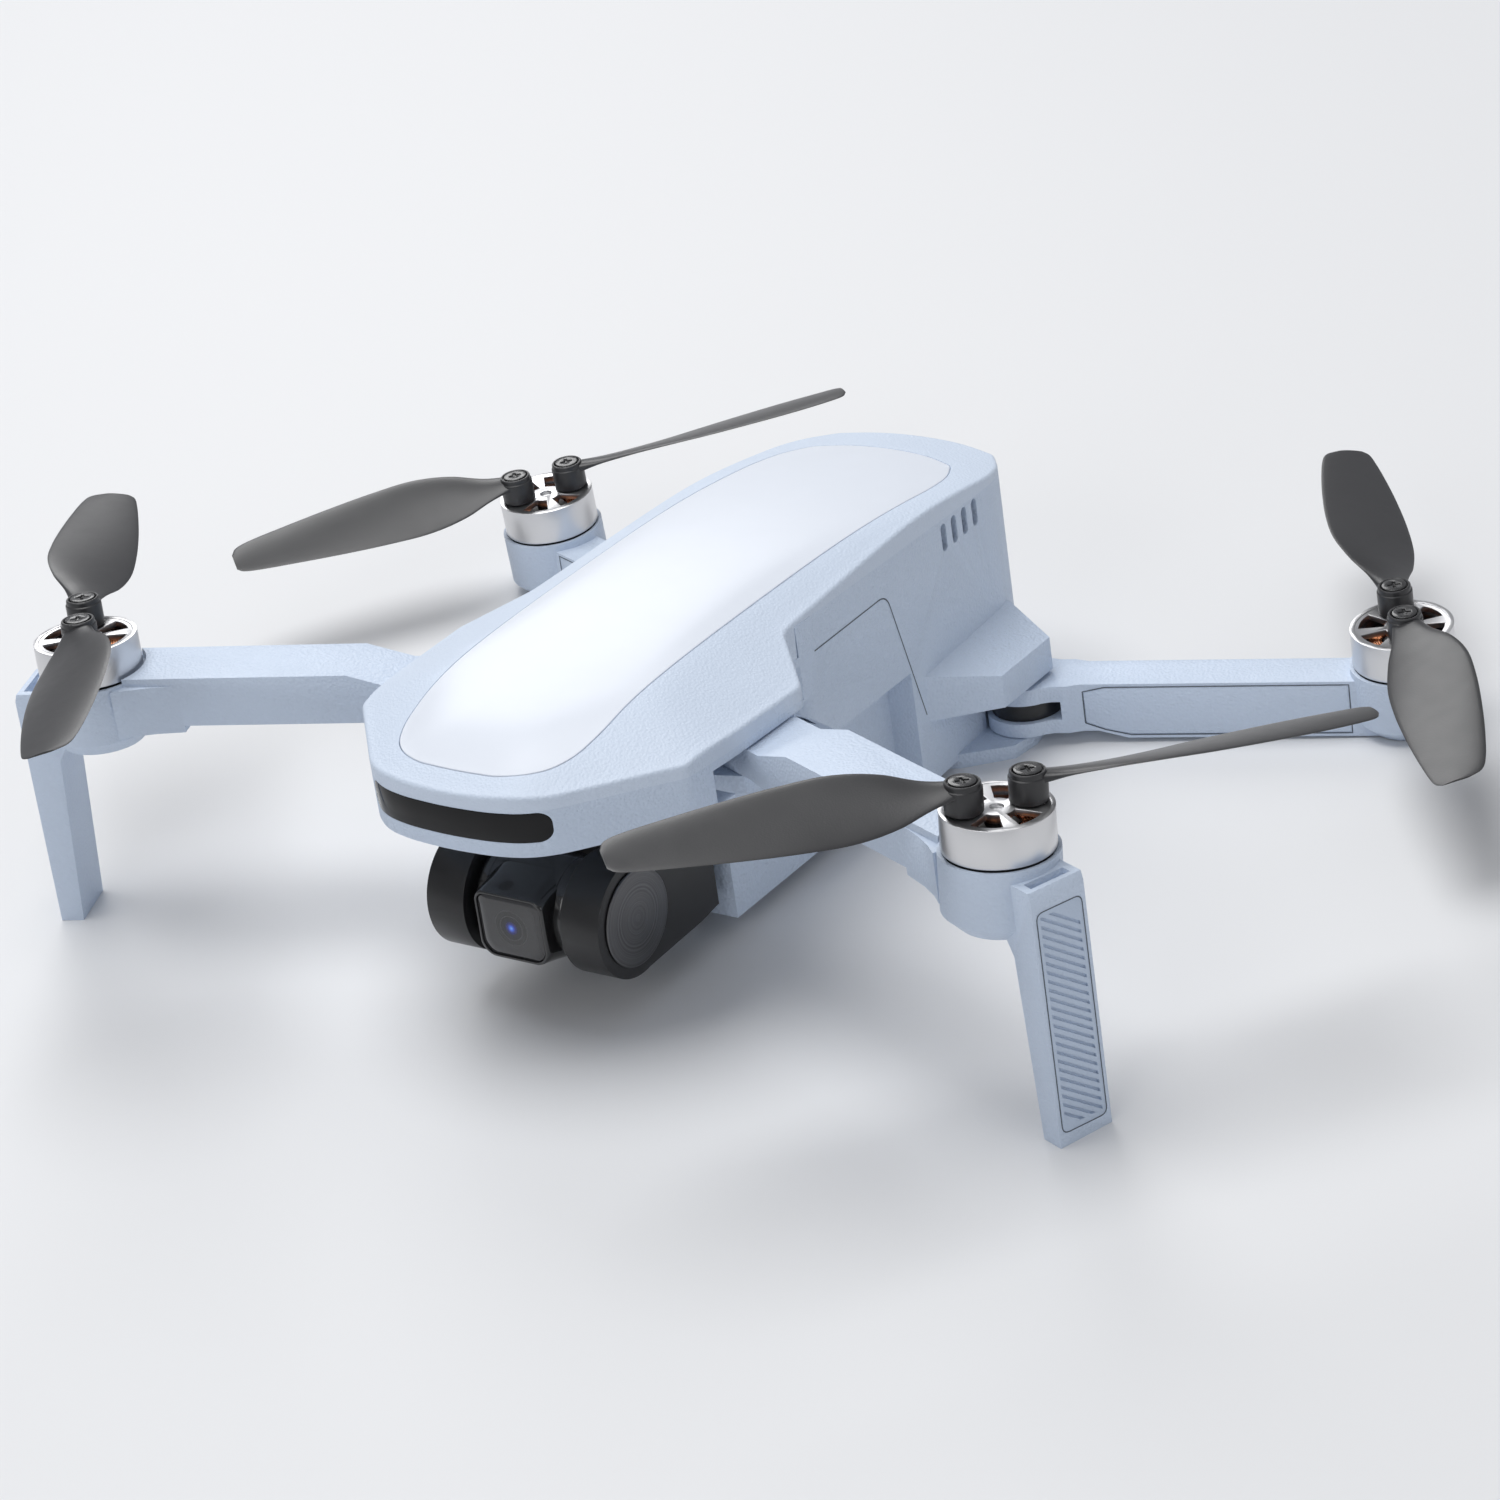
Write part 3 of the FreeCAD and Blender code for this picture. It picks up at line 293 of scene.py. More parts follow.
def lens_glass_painted_glint(name, centre_x, centre_z):
    """Dark camera window with the rings of the lens behind it painted in, and a painted blue glint at the
    lens centre.
    """
    mat, nodes, links, shader = new_material(name)
    coords = object_coords(nodes)
    shift = nodes.new("ShaderNodeVectorMath")
    shift.operation = "SUBTRACT"
    shift.inputs[1].default_value = (centre_x, 0, centre_z)
    links.new(coords, shift.inputs[0])
    flat = nodes.new("ShaderNodeVectorMath")
    flat.operation = "MULTIPLY"
    flat.inputs[1].default_value = (1, 0, 1)
    links.new(shift.outputs["Vector"], flat.inputs[0])
    length = nodes.new("ShaderNodeVectorMath")
    length.operation = "LENGTH"
    links.new(flat.outputs["Vector"], length.inputs[0])
    scaled = nodes.new("ShaderNodeMath")
    scaled.operation = "MULTIPLY"
    scaled.inputs[1].default_value = 1.0 / (5.0 * MM)
    links.new(length.outputs["Value"], scaled.inputs[0])
    ramp = nodes.new("ShaderNodeValToRGB")
    # colour by distance from the lens centre: the blue at the middle is a painted glint of the lens
    # coating, the grey bands are painted lens rings
    stops = [
        (0.00, (0.25, 0.55, 1.0)), (0.07, (0.06, 0.16, 0.9)),
        (0.15, (0.01, 0.015, 0.2)), (0.26, (0.002, 0.002, 0.012)),
        (0.40, (0.003, 0.003, 0.004)), (0.43, (0.05, 0.05, 0.055)), (0.46, (0.012, 0.012, 0.013)),
        (0.60, (0.014, 0.014, 0.015)), (0.62, (0.05, 0.05, 0.052)), (0.64, (0.026, 0.026, 0.028)),
    ]
    ramp.color_ramp.elements[0].position = stops[0][0]
    ramp.color_ramp.elements[0].color = (*stops[0][1], 1)
    ramp.color_ramp.elements[1].position = stops[-1][0]
    ramp.color_ramp.elements[1].color = (*stops[-1][1], 1)
    for place, colour in stops[1:-1]:
        ramp.color_ramp.elements.new(place).color = (*colour, 1)
    links.new(scaled.outputs["Value"], ramp.inputs["Fac"])
    links.new(ramp.outputs["Color"], shader.inputs["Base Color"])
    links.new(
        spread(nodes, links, noise(nodes, links, coords, 3.0), 0.03, 0.08),
        shader.inputs["Roughness"],
    )
    shader.inputs["Coat Weight"].default_value = 0.6
    shader.inputs["Coat Roughness"].default_value = 0.02
    return mat


def lens_coating_painted_sheen(name):
    """Deep glass; the blue in its base colour is a painted sheen of the coating."""
    mat, nodes, links, shader = new_material(name)
    # dark to light blue base colour: a painted sheen
    sheen = noise(nodes, links, object_coords(nodes), 5.0)
    links.new(
        mixed_colour(nodes, links, sheen, (0.004, 0.01, 0.05), (0.02, 0.09, 0.35)),
        shader.inputs["Base Color"],
    )
    speck = noise(nodes, links, object_coords(nodes), 2.0)
    links.new(spread(nodes, links, speck, 0.02, 0.06), shader.inputs["Roughness"])
    shader.inputs["Coat Weight"].default_value = 1.0
    shader.inputs["Coat Tint"].default_value = (0.35, 0.55, 1.0, 1)
    return mat


SHELL = (0.600, 0.680, 0.800)
MATS = {
    "shell": leather_plastic("shell_plastic", SHELL, 0.45, 0.30, 0.46),
    "shell_wall": leather_plastic("wall_plastic", (0.560, 0.645, 0.775), 0.50, 0.55, 0.48),
    "inlay": satin_plastic("inlay_plastic", (0.715, 0.755, 0.825), 0.36, 0.5, 0.05, 0.015),
    "arm_shell": leather_plastic("arm_plastic", (0.570, 0.655, 0.785), 0.50, 0.40, 0.46),
    "ribbed_cover": leather_plastic("rib_plastic", (0.500, 0.585, 0.715), 0.45, 0.25, 0.5),
    "window": dark_glass("window_dark", (0.002, 0.002, 0.0025), 0.06, 0.08),
    "black_plastic": satin_plastic("bracket_black", (0.012, 0.012, 0.013), 0.34, 0.35, 0.2, 0.08),
    "camera_black": satin_plastic("camera_black", (0.014, 0.014, 0.015), 0.20, 0.5, 0.06, 0.08, 0.5),
    "camera_glass": dark_glass("camera_glass", (0.012, 0.012, 0.014), 0.02),
    "lens": lens_coating_painted_sheen("lens_coating_painted_sheen"),
    "motor_metal": turned_metal("bell_metal", (0.72, 0.72, 0.73), 0.31),
    "magnet": turned_metal("magnet_nickel", (0.38, 0.38, 0.40), 0.35),
    "core": satin_plastic("core_coating", (0.02, 0.02, 0.022), 0.5, 0.3, 0.3),
    "copper": wound_copper("copper_wire"),
    "screw": satin_plastic("screw_black", (0.020, 0.020, 0.021), 0.26, 0.3, 0.1, 0.1, 0.3),
    "pin_steel": turned_metal("pin_steel", (0.55, 0.55, 0.56), 0.3),
    "washer": satin_plastic("washer_black", (0.010, 0.010, 0.011), 0.35),
    "damper": satin_plastic("damper_rubber", (0.015, 0.015, 0.016), 0.75, 0.3, 0.3),
    "blade": satin_plastic("blade_plastic", (0.030, 0.030, 0.032), 0.34, 0.32, 0.45, 0.08),
    "board": satin_plastic("board_mask", (0.015, 0.09, 0.035), 0.35, 0.8, 0.2),
    "antenna": satin_plastic("antenna_ceramic", (0.42, 0.33, 0.22), 0.55),
    "battery_shell": leather_plastic("battery_plastic", (0.560, 0.645, 0.775), 0.60, 0.40, 0.46),
    "cell": satin_plastic("cell_wrap", (0.05, 0.12, 0.35), 0.3),
    "light": satin_plastic("light_diffuser", (0.75, 0.85, 0.85), 0.25),
    "button": satin_plastic("button_plastic", (0.20, 0.24, 0.31), 0.4),
    "socket_steel": turned_metal("socket_steel", (0.65, 0.65, 0.66), 0.25),
    "seam": satin_plastic("seam_shadow", (0.10, 0.12, 0.15), 0.7),
}


# ---------------------------------------------------------------- mesh helpers
def add_mesh(name, verts, faces, body, material, smooth=40.0):
    """A new piece from points in metres."""
    mesh = bpy.data.meshes.new(name)
    mesh.from_pydata([tuple(v) for v in verts], [], faces)
    mesh.validate()
    piece = bpy.data.objects.new(name, mesh)
    bpy.context.collection.objects.link(piece)
    tidy = bmesh.new()
    tidy.from_mesh(mesh)
    bmesh.ops.remove_doubles(tidy, verts=tidy.verts, dist=0.000004)
    bmesh.ops.recalc_face_normals(tidy, faces=tidy.faces)
    tidy.to_mesh(mesh)
    tidy.free()
    return dress(piece, body, material, smooth)


def dress(piece, body, material, smooth=40.0):
    mesh = piece.data
    mesh.materials.clear()
    mesh.materials.append(MATS[material])
    mesh.shade_smooth()
    mesh.set_sharp_from_angle(angle=math.radians(smooth))
    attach(piece, body)
    return piece


def baked(piece):
    """Applies the piece's modifiers."""
    graph = bpy.context.evaluated_depsgraph_get()
    mesh = bpy.data.meshes.new_from_object(piece.evaluated_get(graph))
    piece.modifiers.clear()
    piece.data = mesh
    return piece


def softened(node, material=None, width=0.4, segments=3, angle=28.0, smooth=40.0):
    """A copy of a CAD piece with its sharp edges rounded by width millimetres."""
    source = frame["nodes"][node]
    mesh = source.data.copy()
    piece = bpy.data.objects.new("soft_" + node, mesh)
    bpy.context.collection.objects.link(piece)
    work = bmesh.new()
    work.from_mesh(mesh)
    bmesh.ops.remove_doubles(work, verts=work.verts, dist=0.000002)
    bmesh.ops.dissolve_limit(work, angle_limit=math.radians(0.6), verts=work.verts, edges=work.edges)
    work.to_mesh(mesh)
    work.free()
    mesh.shade_smooth()
    bevel = piece.modifiers.new("round", "BEVEL")
    bevel.width = width * MM
    bevel.segments = segments
    bevel.limit_method = "ANGLE"
    bevel.angle_limit = math.radians(angle)
    bevel.use_clamp_overlap = True
    bevel.harden_normals = False
    baked(piece)
    dress(piece, BODY_OF[node], material or SLOT_OF[node], smooth)
    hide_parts(node)
    return piece


def rounded(outline, radius, steps=8):
    """Rounds the corners of a closed plan outline."""
    points = [Vector(p) for p in outline]
    out = []
    for before, corner, after in zip(points[-1:] + points[:-1], points, points[1:] + points[:1]):
        back = (before - corner).normalized()
        ahead = (after - corner).normalized()
        half = max(0.05, back.angle(ahead) / 2)
        longest = 0.48 * min((before - corner).length, (after - corner).length)
        shallow = half > math.radians(75.0)
        reach = longest if shallow else min(radius / math.tan(half), longest)
        start, end = corner + back * reach, corner + ahead * reach
        for i in range(steps + 1):
            t = i / steps
            out.append(start * (1 - t) ** 2 + corner * 2 * t * (1 - t) + end * t ** 2)
    return out


def closed_smooth(points):
    """Drops points that are nearly on top of each other."""
    out = [points[0]]
    for p in points[1:]:
        if (p - out[-1]).length > 0.03:
            out.append(p)
    if (out[0] - out[-1]).length < 0.03:
        out.pop()
    return out


def divided(points, step):
    """Splits long runs of a closed outline."""
    out = []
    for a, b in zip(points, points[1:] + points[:1]):
        count = max(1, int((b - a).length / step))
        out += [a.lerp(b, i / count) for i in range(count)]
    return out


def whole(half):
    return half + [(-x, y) for x, y in reversed(half) if x > 0]


def shrunk(points, gap):
    """Moves a closed outline inwards (anticlockwise outlines) by gap."""
    out = []
    count = len(points)
    for i, p in enumerate(points):
        tangent = (points[(i + 1) % count] - points[i - 1]).normalized()
        out.append(p + Vector((-tangent.y, tangent.x)) * gap)
    return out


# ---------------------------------------------------------------- top of the body
RIM_Z = 47.4
FLANK = math.tan(math.radians(23.5))
CROWN = ((-74.0, 52.0), (-20.0, 56.0), (45.0, 50.4))
CROWN_SIDE_RADIUS = 165.0
CREASE = 0.55


def circle_through(a, b, c):
    """Centre and radius of the circle through three points."""
    ax, ay, bx, by, cx, cy = *a, *b, *c
    d = 2 * (ax * (by - cy) + bx * (cy - ay) + cx * (ay - by))
    ux = ((ax**2 + ay**2) * (by - cy) + (bx**2 + by**2) * (cy - ay) + (cx**2 + cy**2) * (ay - by)) / d
    uy = ((ax**2 + ay**2) * (cx - bx) + (bx**2 + by**2) * (ax - cx) + (cx**2 + cy**2) * (bx - ax)) / d
    return Vector((ux, uy)), math.hypot(ax - ux, ay - uy)


CROWN_CENTRE, CROWN_RADIUS = circle_through(*CROWN)
CROWN_AXIS_Z = CROWN[1][1] - CROWN_SIDE_RADIUS
CORNER_N = (16.3 / math.hypot(14.4, 16.3), -14.4 / math.hypot(14.4, 16.3))


def roof(x, y):
    """Height of the top surface, with its creases softened."""
    across = abs(x)
    ridge = CROWN_CENTRE.y + math.sqrt(CROWN_RADIUS**2 - (y - CROWN_CENTRE.x) ** 2)
    heights = [
        CROWN_AXIS_Z + math.sqrt((ridge - CROWN_AXIS_Z) ** 2 - across**2),
        RIM_Z + (34.0 - across) * FLANK,
        RIM_Z + (y + 81.6) * FLANK,
        RIM_Z - ((across - 17.6) * CORNER_N[0] + (y + 77.0) * CORNER_N[1]) * FLANK,
    ]
    low = min(heights)
    return low - CREASE * math.log(sum(math.exp((low - h) / CREASE) for h in heights))


def sheet_points(outer, hole, step):
    """Triangles over the plan between an outline and a hole (or none)."""
    verts = [Vector(p) for p in outer]
    edges = [(i, (i + 1) % len(outer)) for i in range(len(outer))]
    if hole:
        base = len(verts)
        verts += [Vector(p) for p in hole]
        edges += [(base + i, base + (i + 1) % len(hole)) for i in range(len(hole))]
    low_x, high_x = min(p.x for p in outer), max(p.x for p in outer)
    low_y, high_y = min(p.y for p in outer), max(p.y for p in outer)
    rows = int((high_y - low_y) / step)
    columns = int((high_x - low_x) / step)
    for j in range(1, rows):
        for i in range(1, columns):
            p = Vector((low_x + (i + 0.5 * (j % 2)) * step, low_y + j * step))
            if inside(p, outer, step * 0.5) and not (hole and not outside(p, hole, step * 0.5)):
                verts.append(p)
    out = delaunay_2d_cdt(verts, edges, [], 0, 1e-4)
    return verts, out


def crossing(p, loop):
    """Whether a point is inside a closed loop."""
    hit = False
    count = len(loop)
    for i in range(count):
        a, b = loop[i], loop[i - 1]
        if (a.y > p.y) != (b.y > p.y) and p.x < (b.x - a.x) * (p.y - a.y) / (b.y - a.y) + a.x:
            hit = not hit
    return hit


def near(p, loop, gap):
    return any((q - p).length_squared < gap * gap for q in loop)


def inside(p, loop, gap):
    return crossing(p, loop) and not near(p, loop, gap)


def outside(p, loop, gap):
    return not crossing(p, loop) and not near(p, loop, gap)


def skirt(loops):
    """Quads between successive closed loops of the same length; returns points and faces."""
    verts = [p for loop in loops for p in loop]
    count = len(loops[0])
    faces = []
    for k in range(len(loops) - 1):
        for i in range(count):
            j = (i + 1) % count
            faces.append((k * count + i, k * count + j, (k + 1) * count + j, (k + 1) * count + i))
    return verts, faces


def cover(name, outer, hole, drop_to, body, material, edge=0.5, step=1.5, inner_drop=1.0):
    """A skin that follows the roof, with a rounded edge that runs down to a given height."""
    rings = [
        (edge, 0.0), (edge * 0.62, edge * 0.08), (edge * 0.29, edge * 0.29),
        (edge * 0.08, edge * 0.62), (0.0, edge),
    ]
    top_outer = shrunk(outer, edge)
    top_hole = shrunk(hole, -0.12) if hole else None
    flat, out = sheet_points(top_outer, top_hole, step)
    verts2d, triangles = out[0], out[2]
    verts = [Vector((p.x, p.y, roof(p.x, p.y))) for p in verts2d]
    faces = []
    for tri in triangles:
        centre = sum((verts2d[i] for i in tri), Vector((0, 0))) / len(tri)
        if crossing(centre, top_outer) and not (top_hole and crossing(centre, top_hole)):
            faces.append(tuple(tri))
    loops = []
    for gap, drop in rings:
        ring = shrunk(outer, gap)
        loops.append([Vector((q.x, q.y, roof(p.x, p.y) - drop)) for p, q in zip(top_outer, ring)])
    loops.append([Vector((p.x, p.y, drop_to(p))) for p in outer])
    loops.append([Vector((q.x, q.y, drop_to(p))) for p, q in zip(outer, shrunk(outer, 1.6))])
    more_verts, more_faces = skirt(loops)
    base = len(verts)
    verts += more_verts
    faces += [tuple(base + i for i in f) for f in more_faces]
    if hole:
        lip = [
            [Vector((p.x, p.y, roof(p.x, p.y))) for p in top_hole],
            [Vector((p.x, p.y, roof(p.x, p.y) - 0.12)) for p in shrunk(hole, -0.02)],
            [Vector((p.x, p.y, roof(p.x, p.y) - inner_drop)) for p in hole],
            [Vector((p.x, p.y, roof(p.x, p.y) - inner_drop)) for p in shrunk(hole, 1.0)],
        ]
        more_verts, more_faces = skirt(lip)
        base = len(verts)
        verts += more_verts
        faces += [tuple(base + i for i in f) for f in more_faces]
    return add_mesh(name, [BODY @ v for v in verts], faces, body, material, 50.0)


BODY_HALF = [
    (0.0, -81.6), (8.4, -81.0), (13.6, -79.7), (17.6, -77.0), (32.0, -60.7), (33.2, -51.0), (34.0, -31.5),
    (25.2, -22.5), (24.9, -19.3), (21.8, 45.0), (20.3, 50.5), (16.0, 55.9), (8.0, 58.3), (0.0, 58.7),
]
INLAY_HALF = [
    (0.0, -77.4), (7.7, -77.1), (11.4, -75.8), (14.6, -73.0), (16.8, -68.5), (17.8, -62.0), (18.0, -50.0),
    (18.1, -20.0), (18.2, 10.0), (18.0, 33.0), (17.0, 40.0), (14.2, 45.2), (8.0, 47.6), (0.0, 48.3),
]


def parting(p):
    """Height of the seam below the rim."""
    if p.y < -19.35:
        return 45.3
    return 50.6 + (p.y + 19.3) * (46.0 - 50.6) / 89.3


def build_top():
    outline = divided(closed_smooth(rounded(whole(BODY_HALF), 3.2)), 1.2)
    hole = divided(closed_smooth(rounded(whole(INLAY_HALF), 3.0)), 1.2)
    shell = cover("shell_top", outline, hole, parting, "airframe", "shell", edge=0.75)
    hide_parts("upper_shell")
    plate = cover(
        "inlay_plate", shrunk(hole, 0.10), None, lambda p: roof(p.x, p.y) - 0.85,
        "airframe", "inlay", edge=0.16, step=1.5,
    )
    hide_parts("top_inlay")


# ---------------------------------------------------------------- propellers
MOTOR_X = 89.25
MOTOR_Y = 61.9
HUB_OFFSET = 5.0
REACH = 54.4
BLADE_Z = 3.6
CAMBER = 0.02
# along the blade: distance from the hub, chord, pitch in degrees, thickness, sweep
STATIONS = [
    (0.0, 4.4, 2.0, 3.0, 0.0),
    (1.6, 4.8, 6.0, 2.4, 0.0),
    (6.0, 7.2, 16.0, 1.3, 0.1),
    (11.0, 11.4, 21.0, 1.1, 0.4),
    (18.0, 14.4, 21.0, 1.0, 0.5),
    (26.0, 14.6, 18.5, 0.9, 0.3),
    (35.0, 13.4, 16.0, 0.8, 0.0),
    (44.0, 11.4, 13.5, 0.7, -0.3),
    (51.0, 9.2, 12.0, 0.6, -0.6),
    (53.5, 7.4, 11.0, 0.5, -0.9),
    (54.4, 4.6, 11.0, 0.4, -1.4),
]


def between(x, table):
    """Smooth interpolation down the table's first column."""
    for k in range(len(table) - 1):
        if x <= table[k + 1][0]:
            break
    a, b = table[k], table[k + 1]
    before = table[max(0, k - 1)]
    after = table[min(len(table) - 1, k + 2)]
    t = (x - a[0]) / (b[0] - a[0])
    out = []
    for col in range(1, len(a)):
        slope_a = (b[col] - before[col]) / max(0.01, b[0] - before[0]) * (b[0] - a[0])
        slope_b = (after[col] - a[col]) / max(0.01, after[0] - a[0]) * (b[0] - a[0])
        t2, t3 = t * t, t * t * t
        value = (2 * t3 - 3 * t2 + 1) * a[col] + (t3 - 2 * t2 + t) * slope_a
        value += (-2 * t3 + 3 * t2) * b[col] + (t3 - t2) * slope_b
        out.append(value)
    return out


def blade_mesh(leading):
    """One blade, in millimetres about the hub's axis."""
    verts, faces = [], []
    around = 28
    stations = [REACH * i / 62 for i in range(63)]
    stations = [s for s in stations if s < 53.0] + [53.3, 53.7, 54.0, 54.2, 54.35, REACH]
    for s in stations:
        chord, pitch, thick, sweep = between(s, STATIONS)
        t = math.radians(pitch)
        for i in range(around):
            a = 2 * math.pi * i / around
            c = 0.5 * chord * math.cos(a)
            nose = 0.78 + 0.22 * math.cos(a)
            h = 0.5 * thick * math.sin(a) * nose + CAMBER * chord * (1 - (2 * c / chord) ** 2)
            y = c * math.cos(t) - h * math.sin(t) + sweep
            z = c * math.sin(t) + h * math.cos(t) + BLADE_Z
            verts.append(Vector((s, leading * y, z)))
    rows = len(stations)
    for k in range(rows - 1):
        for i in range(around):
            j = (i + 1) % around
            faces.append((k * around + i, k * around + j, (k + 1) * around + j, (k + 1) * around + i))
    faces.append(tuple(range(around)))
    faces.append(tuple((rows - 1) * around + i for i in range(around)))
    return verts, faces


def turned(profile, sides=48):
    """Turns an (r, z) profile about Z."""
    verts, faces = [], []
    for r, z in profile:
        for i in range(sides):
            a = 2 * math.pi * i / sides
            verts.append(Vector((r * math.cos(a), r * math.sin(a), z)))
    for k in range(len(profile) - 1):
        for i in range(sides):
            j = (i + 1) % sides
            faces.append((k * sides + i, k * sides + j, (k + 1) * sides + j, (k + 1) * sides + i))
    return verts, faces


HUB_PROFILE = [
    (1.06, 0.05), (2.75, 0.05), (3.0, 0.30), (3.0, 3.9),
    (2.97, 4.05), (2.80, 4.2), (2.80, 4.62), (2.76, 4.86),
    (2.62, 5.0), (2.45, 5.0), (2.33, 4.9), (2.3, 4.78), (2.3, 4.4), (1.06, 4.4), (1.06, 0.05),
]
LEANS = {"front": (1.9, 2.97, 51.3, -MOTOR_Y), "rear": (0.8, -2.9, 23.4, MOTOR_Y)}
AXIS_ANGLE = {
    ("front", "left"): 49.0,
    ("front", "right"): -53.0,
    ("rear", "left"): -53.0,
    ("rear", "right"): 49.0,
}


def motor_matrix(end, side, turn):
    out, back, z, y = LEANS[end]
    sign = 1.0 if side == "left" else -1.0
    axis = Vector((sign * math.tan(math.radians(out)), math.tan(math.radians(back)), 1.0)).normalized()
    lean = Vector((0, 0, 1)).rotation_difference(axis).to_matrix().to_4x4()
    spin = Matrix.Rotation(math.radians(turn), 4, "Z")
    return BODY @ Matrix.Translation((sign * MOTOR_X, y, z)) @ lean @ spin


def build_blades():
    for end in ENDS:
        for side, sign in SIDES:
            clockwise = (end, side) in (("front", "left"), ("rear", "right"))
            leading = -1.0 if clockwise else 1.0
            base = AXIS_ANGLE[(end, side)] + (180.0 if clockwise else 0.0)
            for letter, turn in (("a", base), ("b", base + 180.0)):
                node = f"{end}_{side}_blade_{letter}"
                place = motor_matrix(end, side, turn) @ Matrix.Translation((HUB_OFFSET, 0, 0))
                verts, faces = blade_mesh(leading)
                hub_verts, hub_faces = turned(HUB_PROFILE)
                base_index = len(verts)
                verts = verts + hub_verts
                faces = faces + [tuple(base_index + i for i in f) for f in hub_faces]
                placed = [place @ v for v in verts]
                piece = add_mesh(f"{node}_skin", placed, faces, node, "blade", 35.0)
                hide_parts(node)


# ---------------------------------------------------------------- camera
GIMBAL_Y = -60.5
GIMBAL_Z = 17.8


def soft_rectangle(half_width, half_height, upper, lower, y):
    """A rounded rectangle that faces forward; upper and lower are its corner radii."""
    points = []
    for sx, sz, radius in ((1, -1, lower), (1, 1, upper), (-1, 1, upper), (-1, -1, lower)):
        cx, cz = sx * (half_width - radius), sz * (half_height - radius)
        start = {(1, -1): -90, (1, 1): 0, (-1, 1): 90, (-1, -1): 180}[(sx, sz)]
        for i in range(11):
            a = math.radians(start + 9.0 * i)
            points.append(Vector((cx + radius * math.cos(a), y, GIMBAL_Z + cz + radius * math.sin(a))))
    return points


def build_camera_head():
    core = [
        (0.0, 8.7), (5.5, 8.7), (7.6, 8.7), (8.0, 8.6), (8.25, 8.35),
        (8.3, 8.0), (8.3, 6.9), (8.18, 6.8), (8.18, 6.6), (8.3, 6.5),
    ]
    profile = core + [(r, -x) for r, x in reversed(core)]
    verts, faces = turned([(max(r, 0.01), x) for r, x in profile], 72)
    verts = [Vector((v.z, GIMBAL_Y + v.x, GIMBAL_Z + v.y)) for v in verts]
    loops = [
        soft_rectangle(8.65, 7.9, 4.6, 4.6, -62.8),
        soft_rectangle(8.2, 7.5, 4.0, 4.2, -64.4),
        soft_rectangle(7.6, 7.1, 3.4, 3.8, -66.0),
        soft_rectangle(7.2, 6.7, 2.9, 3.5, -67.6),
        soft_rectangle(6.95, 6.25, 2.4, 3.3, -69.4),
        soft_rectangle(6.8, 5.95, 2.1, 2.9, -70.4),
        soft_rectangle(6.66, 5.82, 2.0, 2.8, -70.78),
        soft_rectangle(6.48, 5.64, 1.85, 2.65, -70.9),
        soft_rectangle(6.26, 5.42, 1.7, 2.5, -70.86),
        soft_rectangle(6.18, 5.34, 1.62, 2.42, -70.66),
        soft_rectangle(6.14, 5.30, 1.6, 2.4, -70.2),
    ]
    more_verts, more_faces = skirt(loops)
    base = len(verts)
    verts += more_verts
    faces += [tuple(base + i for i in f) for f in more_faces]
    faces.append(tuple(base + len(more_verts) - 1 - i for i in range(len(loops[0]))))
    placed = [BODY @ v for v in verts]
    head = add_mesh("camera_head", placed, faces, "camera", "camera_black", 50.0)
    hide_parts("camera_body")
    pane = [
        soft_rectangle(6.1, 5.26, 1.56, 2.36, -70.30),
        soft_rectangle(6.1, 5.26, 1.56, 2.36, -70.62),
        soft_rectangle(6.0, 5.16, 1.5, 2.3, -70.72),
        soft_rectangle(4.5, 3.9, 1.2, 1.6, -70.76),
        soft_rectangle(2.5, 2.2, 0.8, 0.9, -70.78),
        soft_rectangle(0.4, 0.35, 0.1, 0.1, -70.78),
    ]
    verts, faces = skirt(pane)
    count = len(pane[0])
    faces.append(tuple(len(verts) - count + i for i in range(count)))
    heart = BODY @ Vector((0, GIMBAL_Y, GIMBAL_Z))
    front = BODY @ Vector((0, -70.7, GIMBAL_Z))
    # the window's material carries the painted blue glint at the lens centre
    MATS["lens_window_painted_glint"] = lens_glass_painted_glint("lens_window_painted_glint", heart.x, front.z)
    placed = [BODY @ v for v in verts]
    glass = add_mesh("camera_pane", placed, faces, "camera", "lens_window_painted_glint", 50.0)
    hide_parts("camera_glass")


# ---------------------------------------------------------------- seams and vents
def wall_x(y):
    """Outer face of the rear block's side wall."""
    return 24.9 - (y + 19.3) * 3.1 / 64.3


SEAM_LIFT = 0.03
DOOR_SEAM_WIDTH = 0.24
PANEL_SEAM_WIDTH = 0.2
SEAM_STEP = 1.5


def ribbon(name, points, normals, width, body):
    """A fine dark line that lies on a surface: the gap between two mouldings."""
    verts, faces = [], []
    last = len(points) - 1
    for i, (p, n) in enumerate(zip(points, normals)):
        along = (points[min(i + 1, last)] - points[max(i - 1, 0)]).normalized()
        across = along.cross(n).normalized() * width / 2
        verts += [p + across + n * SEAM_LIFT, p - across + n * SEAM_LIFT]
        if i < last:
            faces.append((2 * i, 2 * i + 1, 2 * i + 3, 2 * i + 2))
    add_mesh(name, [BODY @ v for v in verts], faces, body, "seam", 60.0)


PIVOT = {"front": Vector((27.0, -38.0)), "rear": Vector((28.0, 39.4))}
MOTOR = {"front": Vector((MOTOR_X, -MOTOR_Y)), "rear": Vector((MOTOR_X, MOTOR_Y))}
LEG_OUT = 12.9
LEG_TAPER = 0.2 / 41.6
REAR_FACE = 4.5


def arm_frame(end, sign):
    """Maps (along, across, up) of an arm to the body; across is to the arm's left."""
    run = MOTOR[end] - PIVOT[end]
    along = run.normalized()

    def place(s, w, z):
        flat = PIVOT[end] + along * s + Vector((-along.y, along.x)) * w
        return Vector((sign * flat.x, flat.y, z))

    return place, run.length


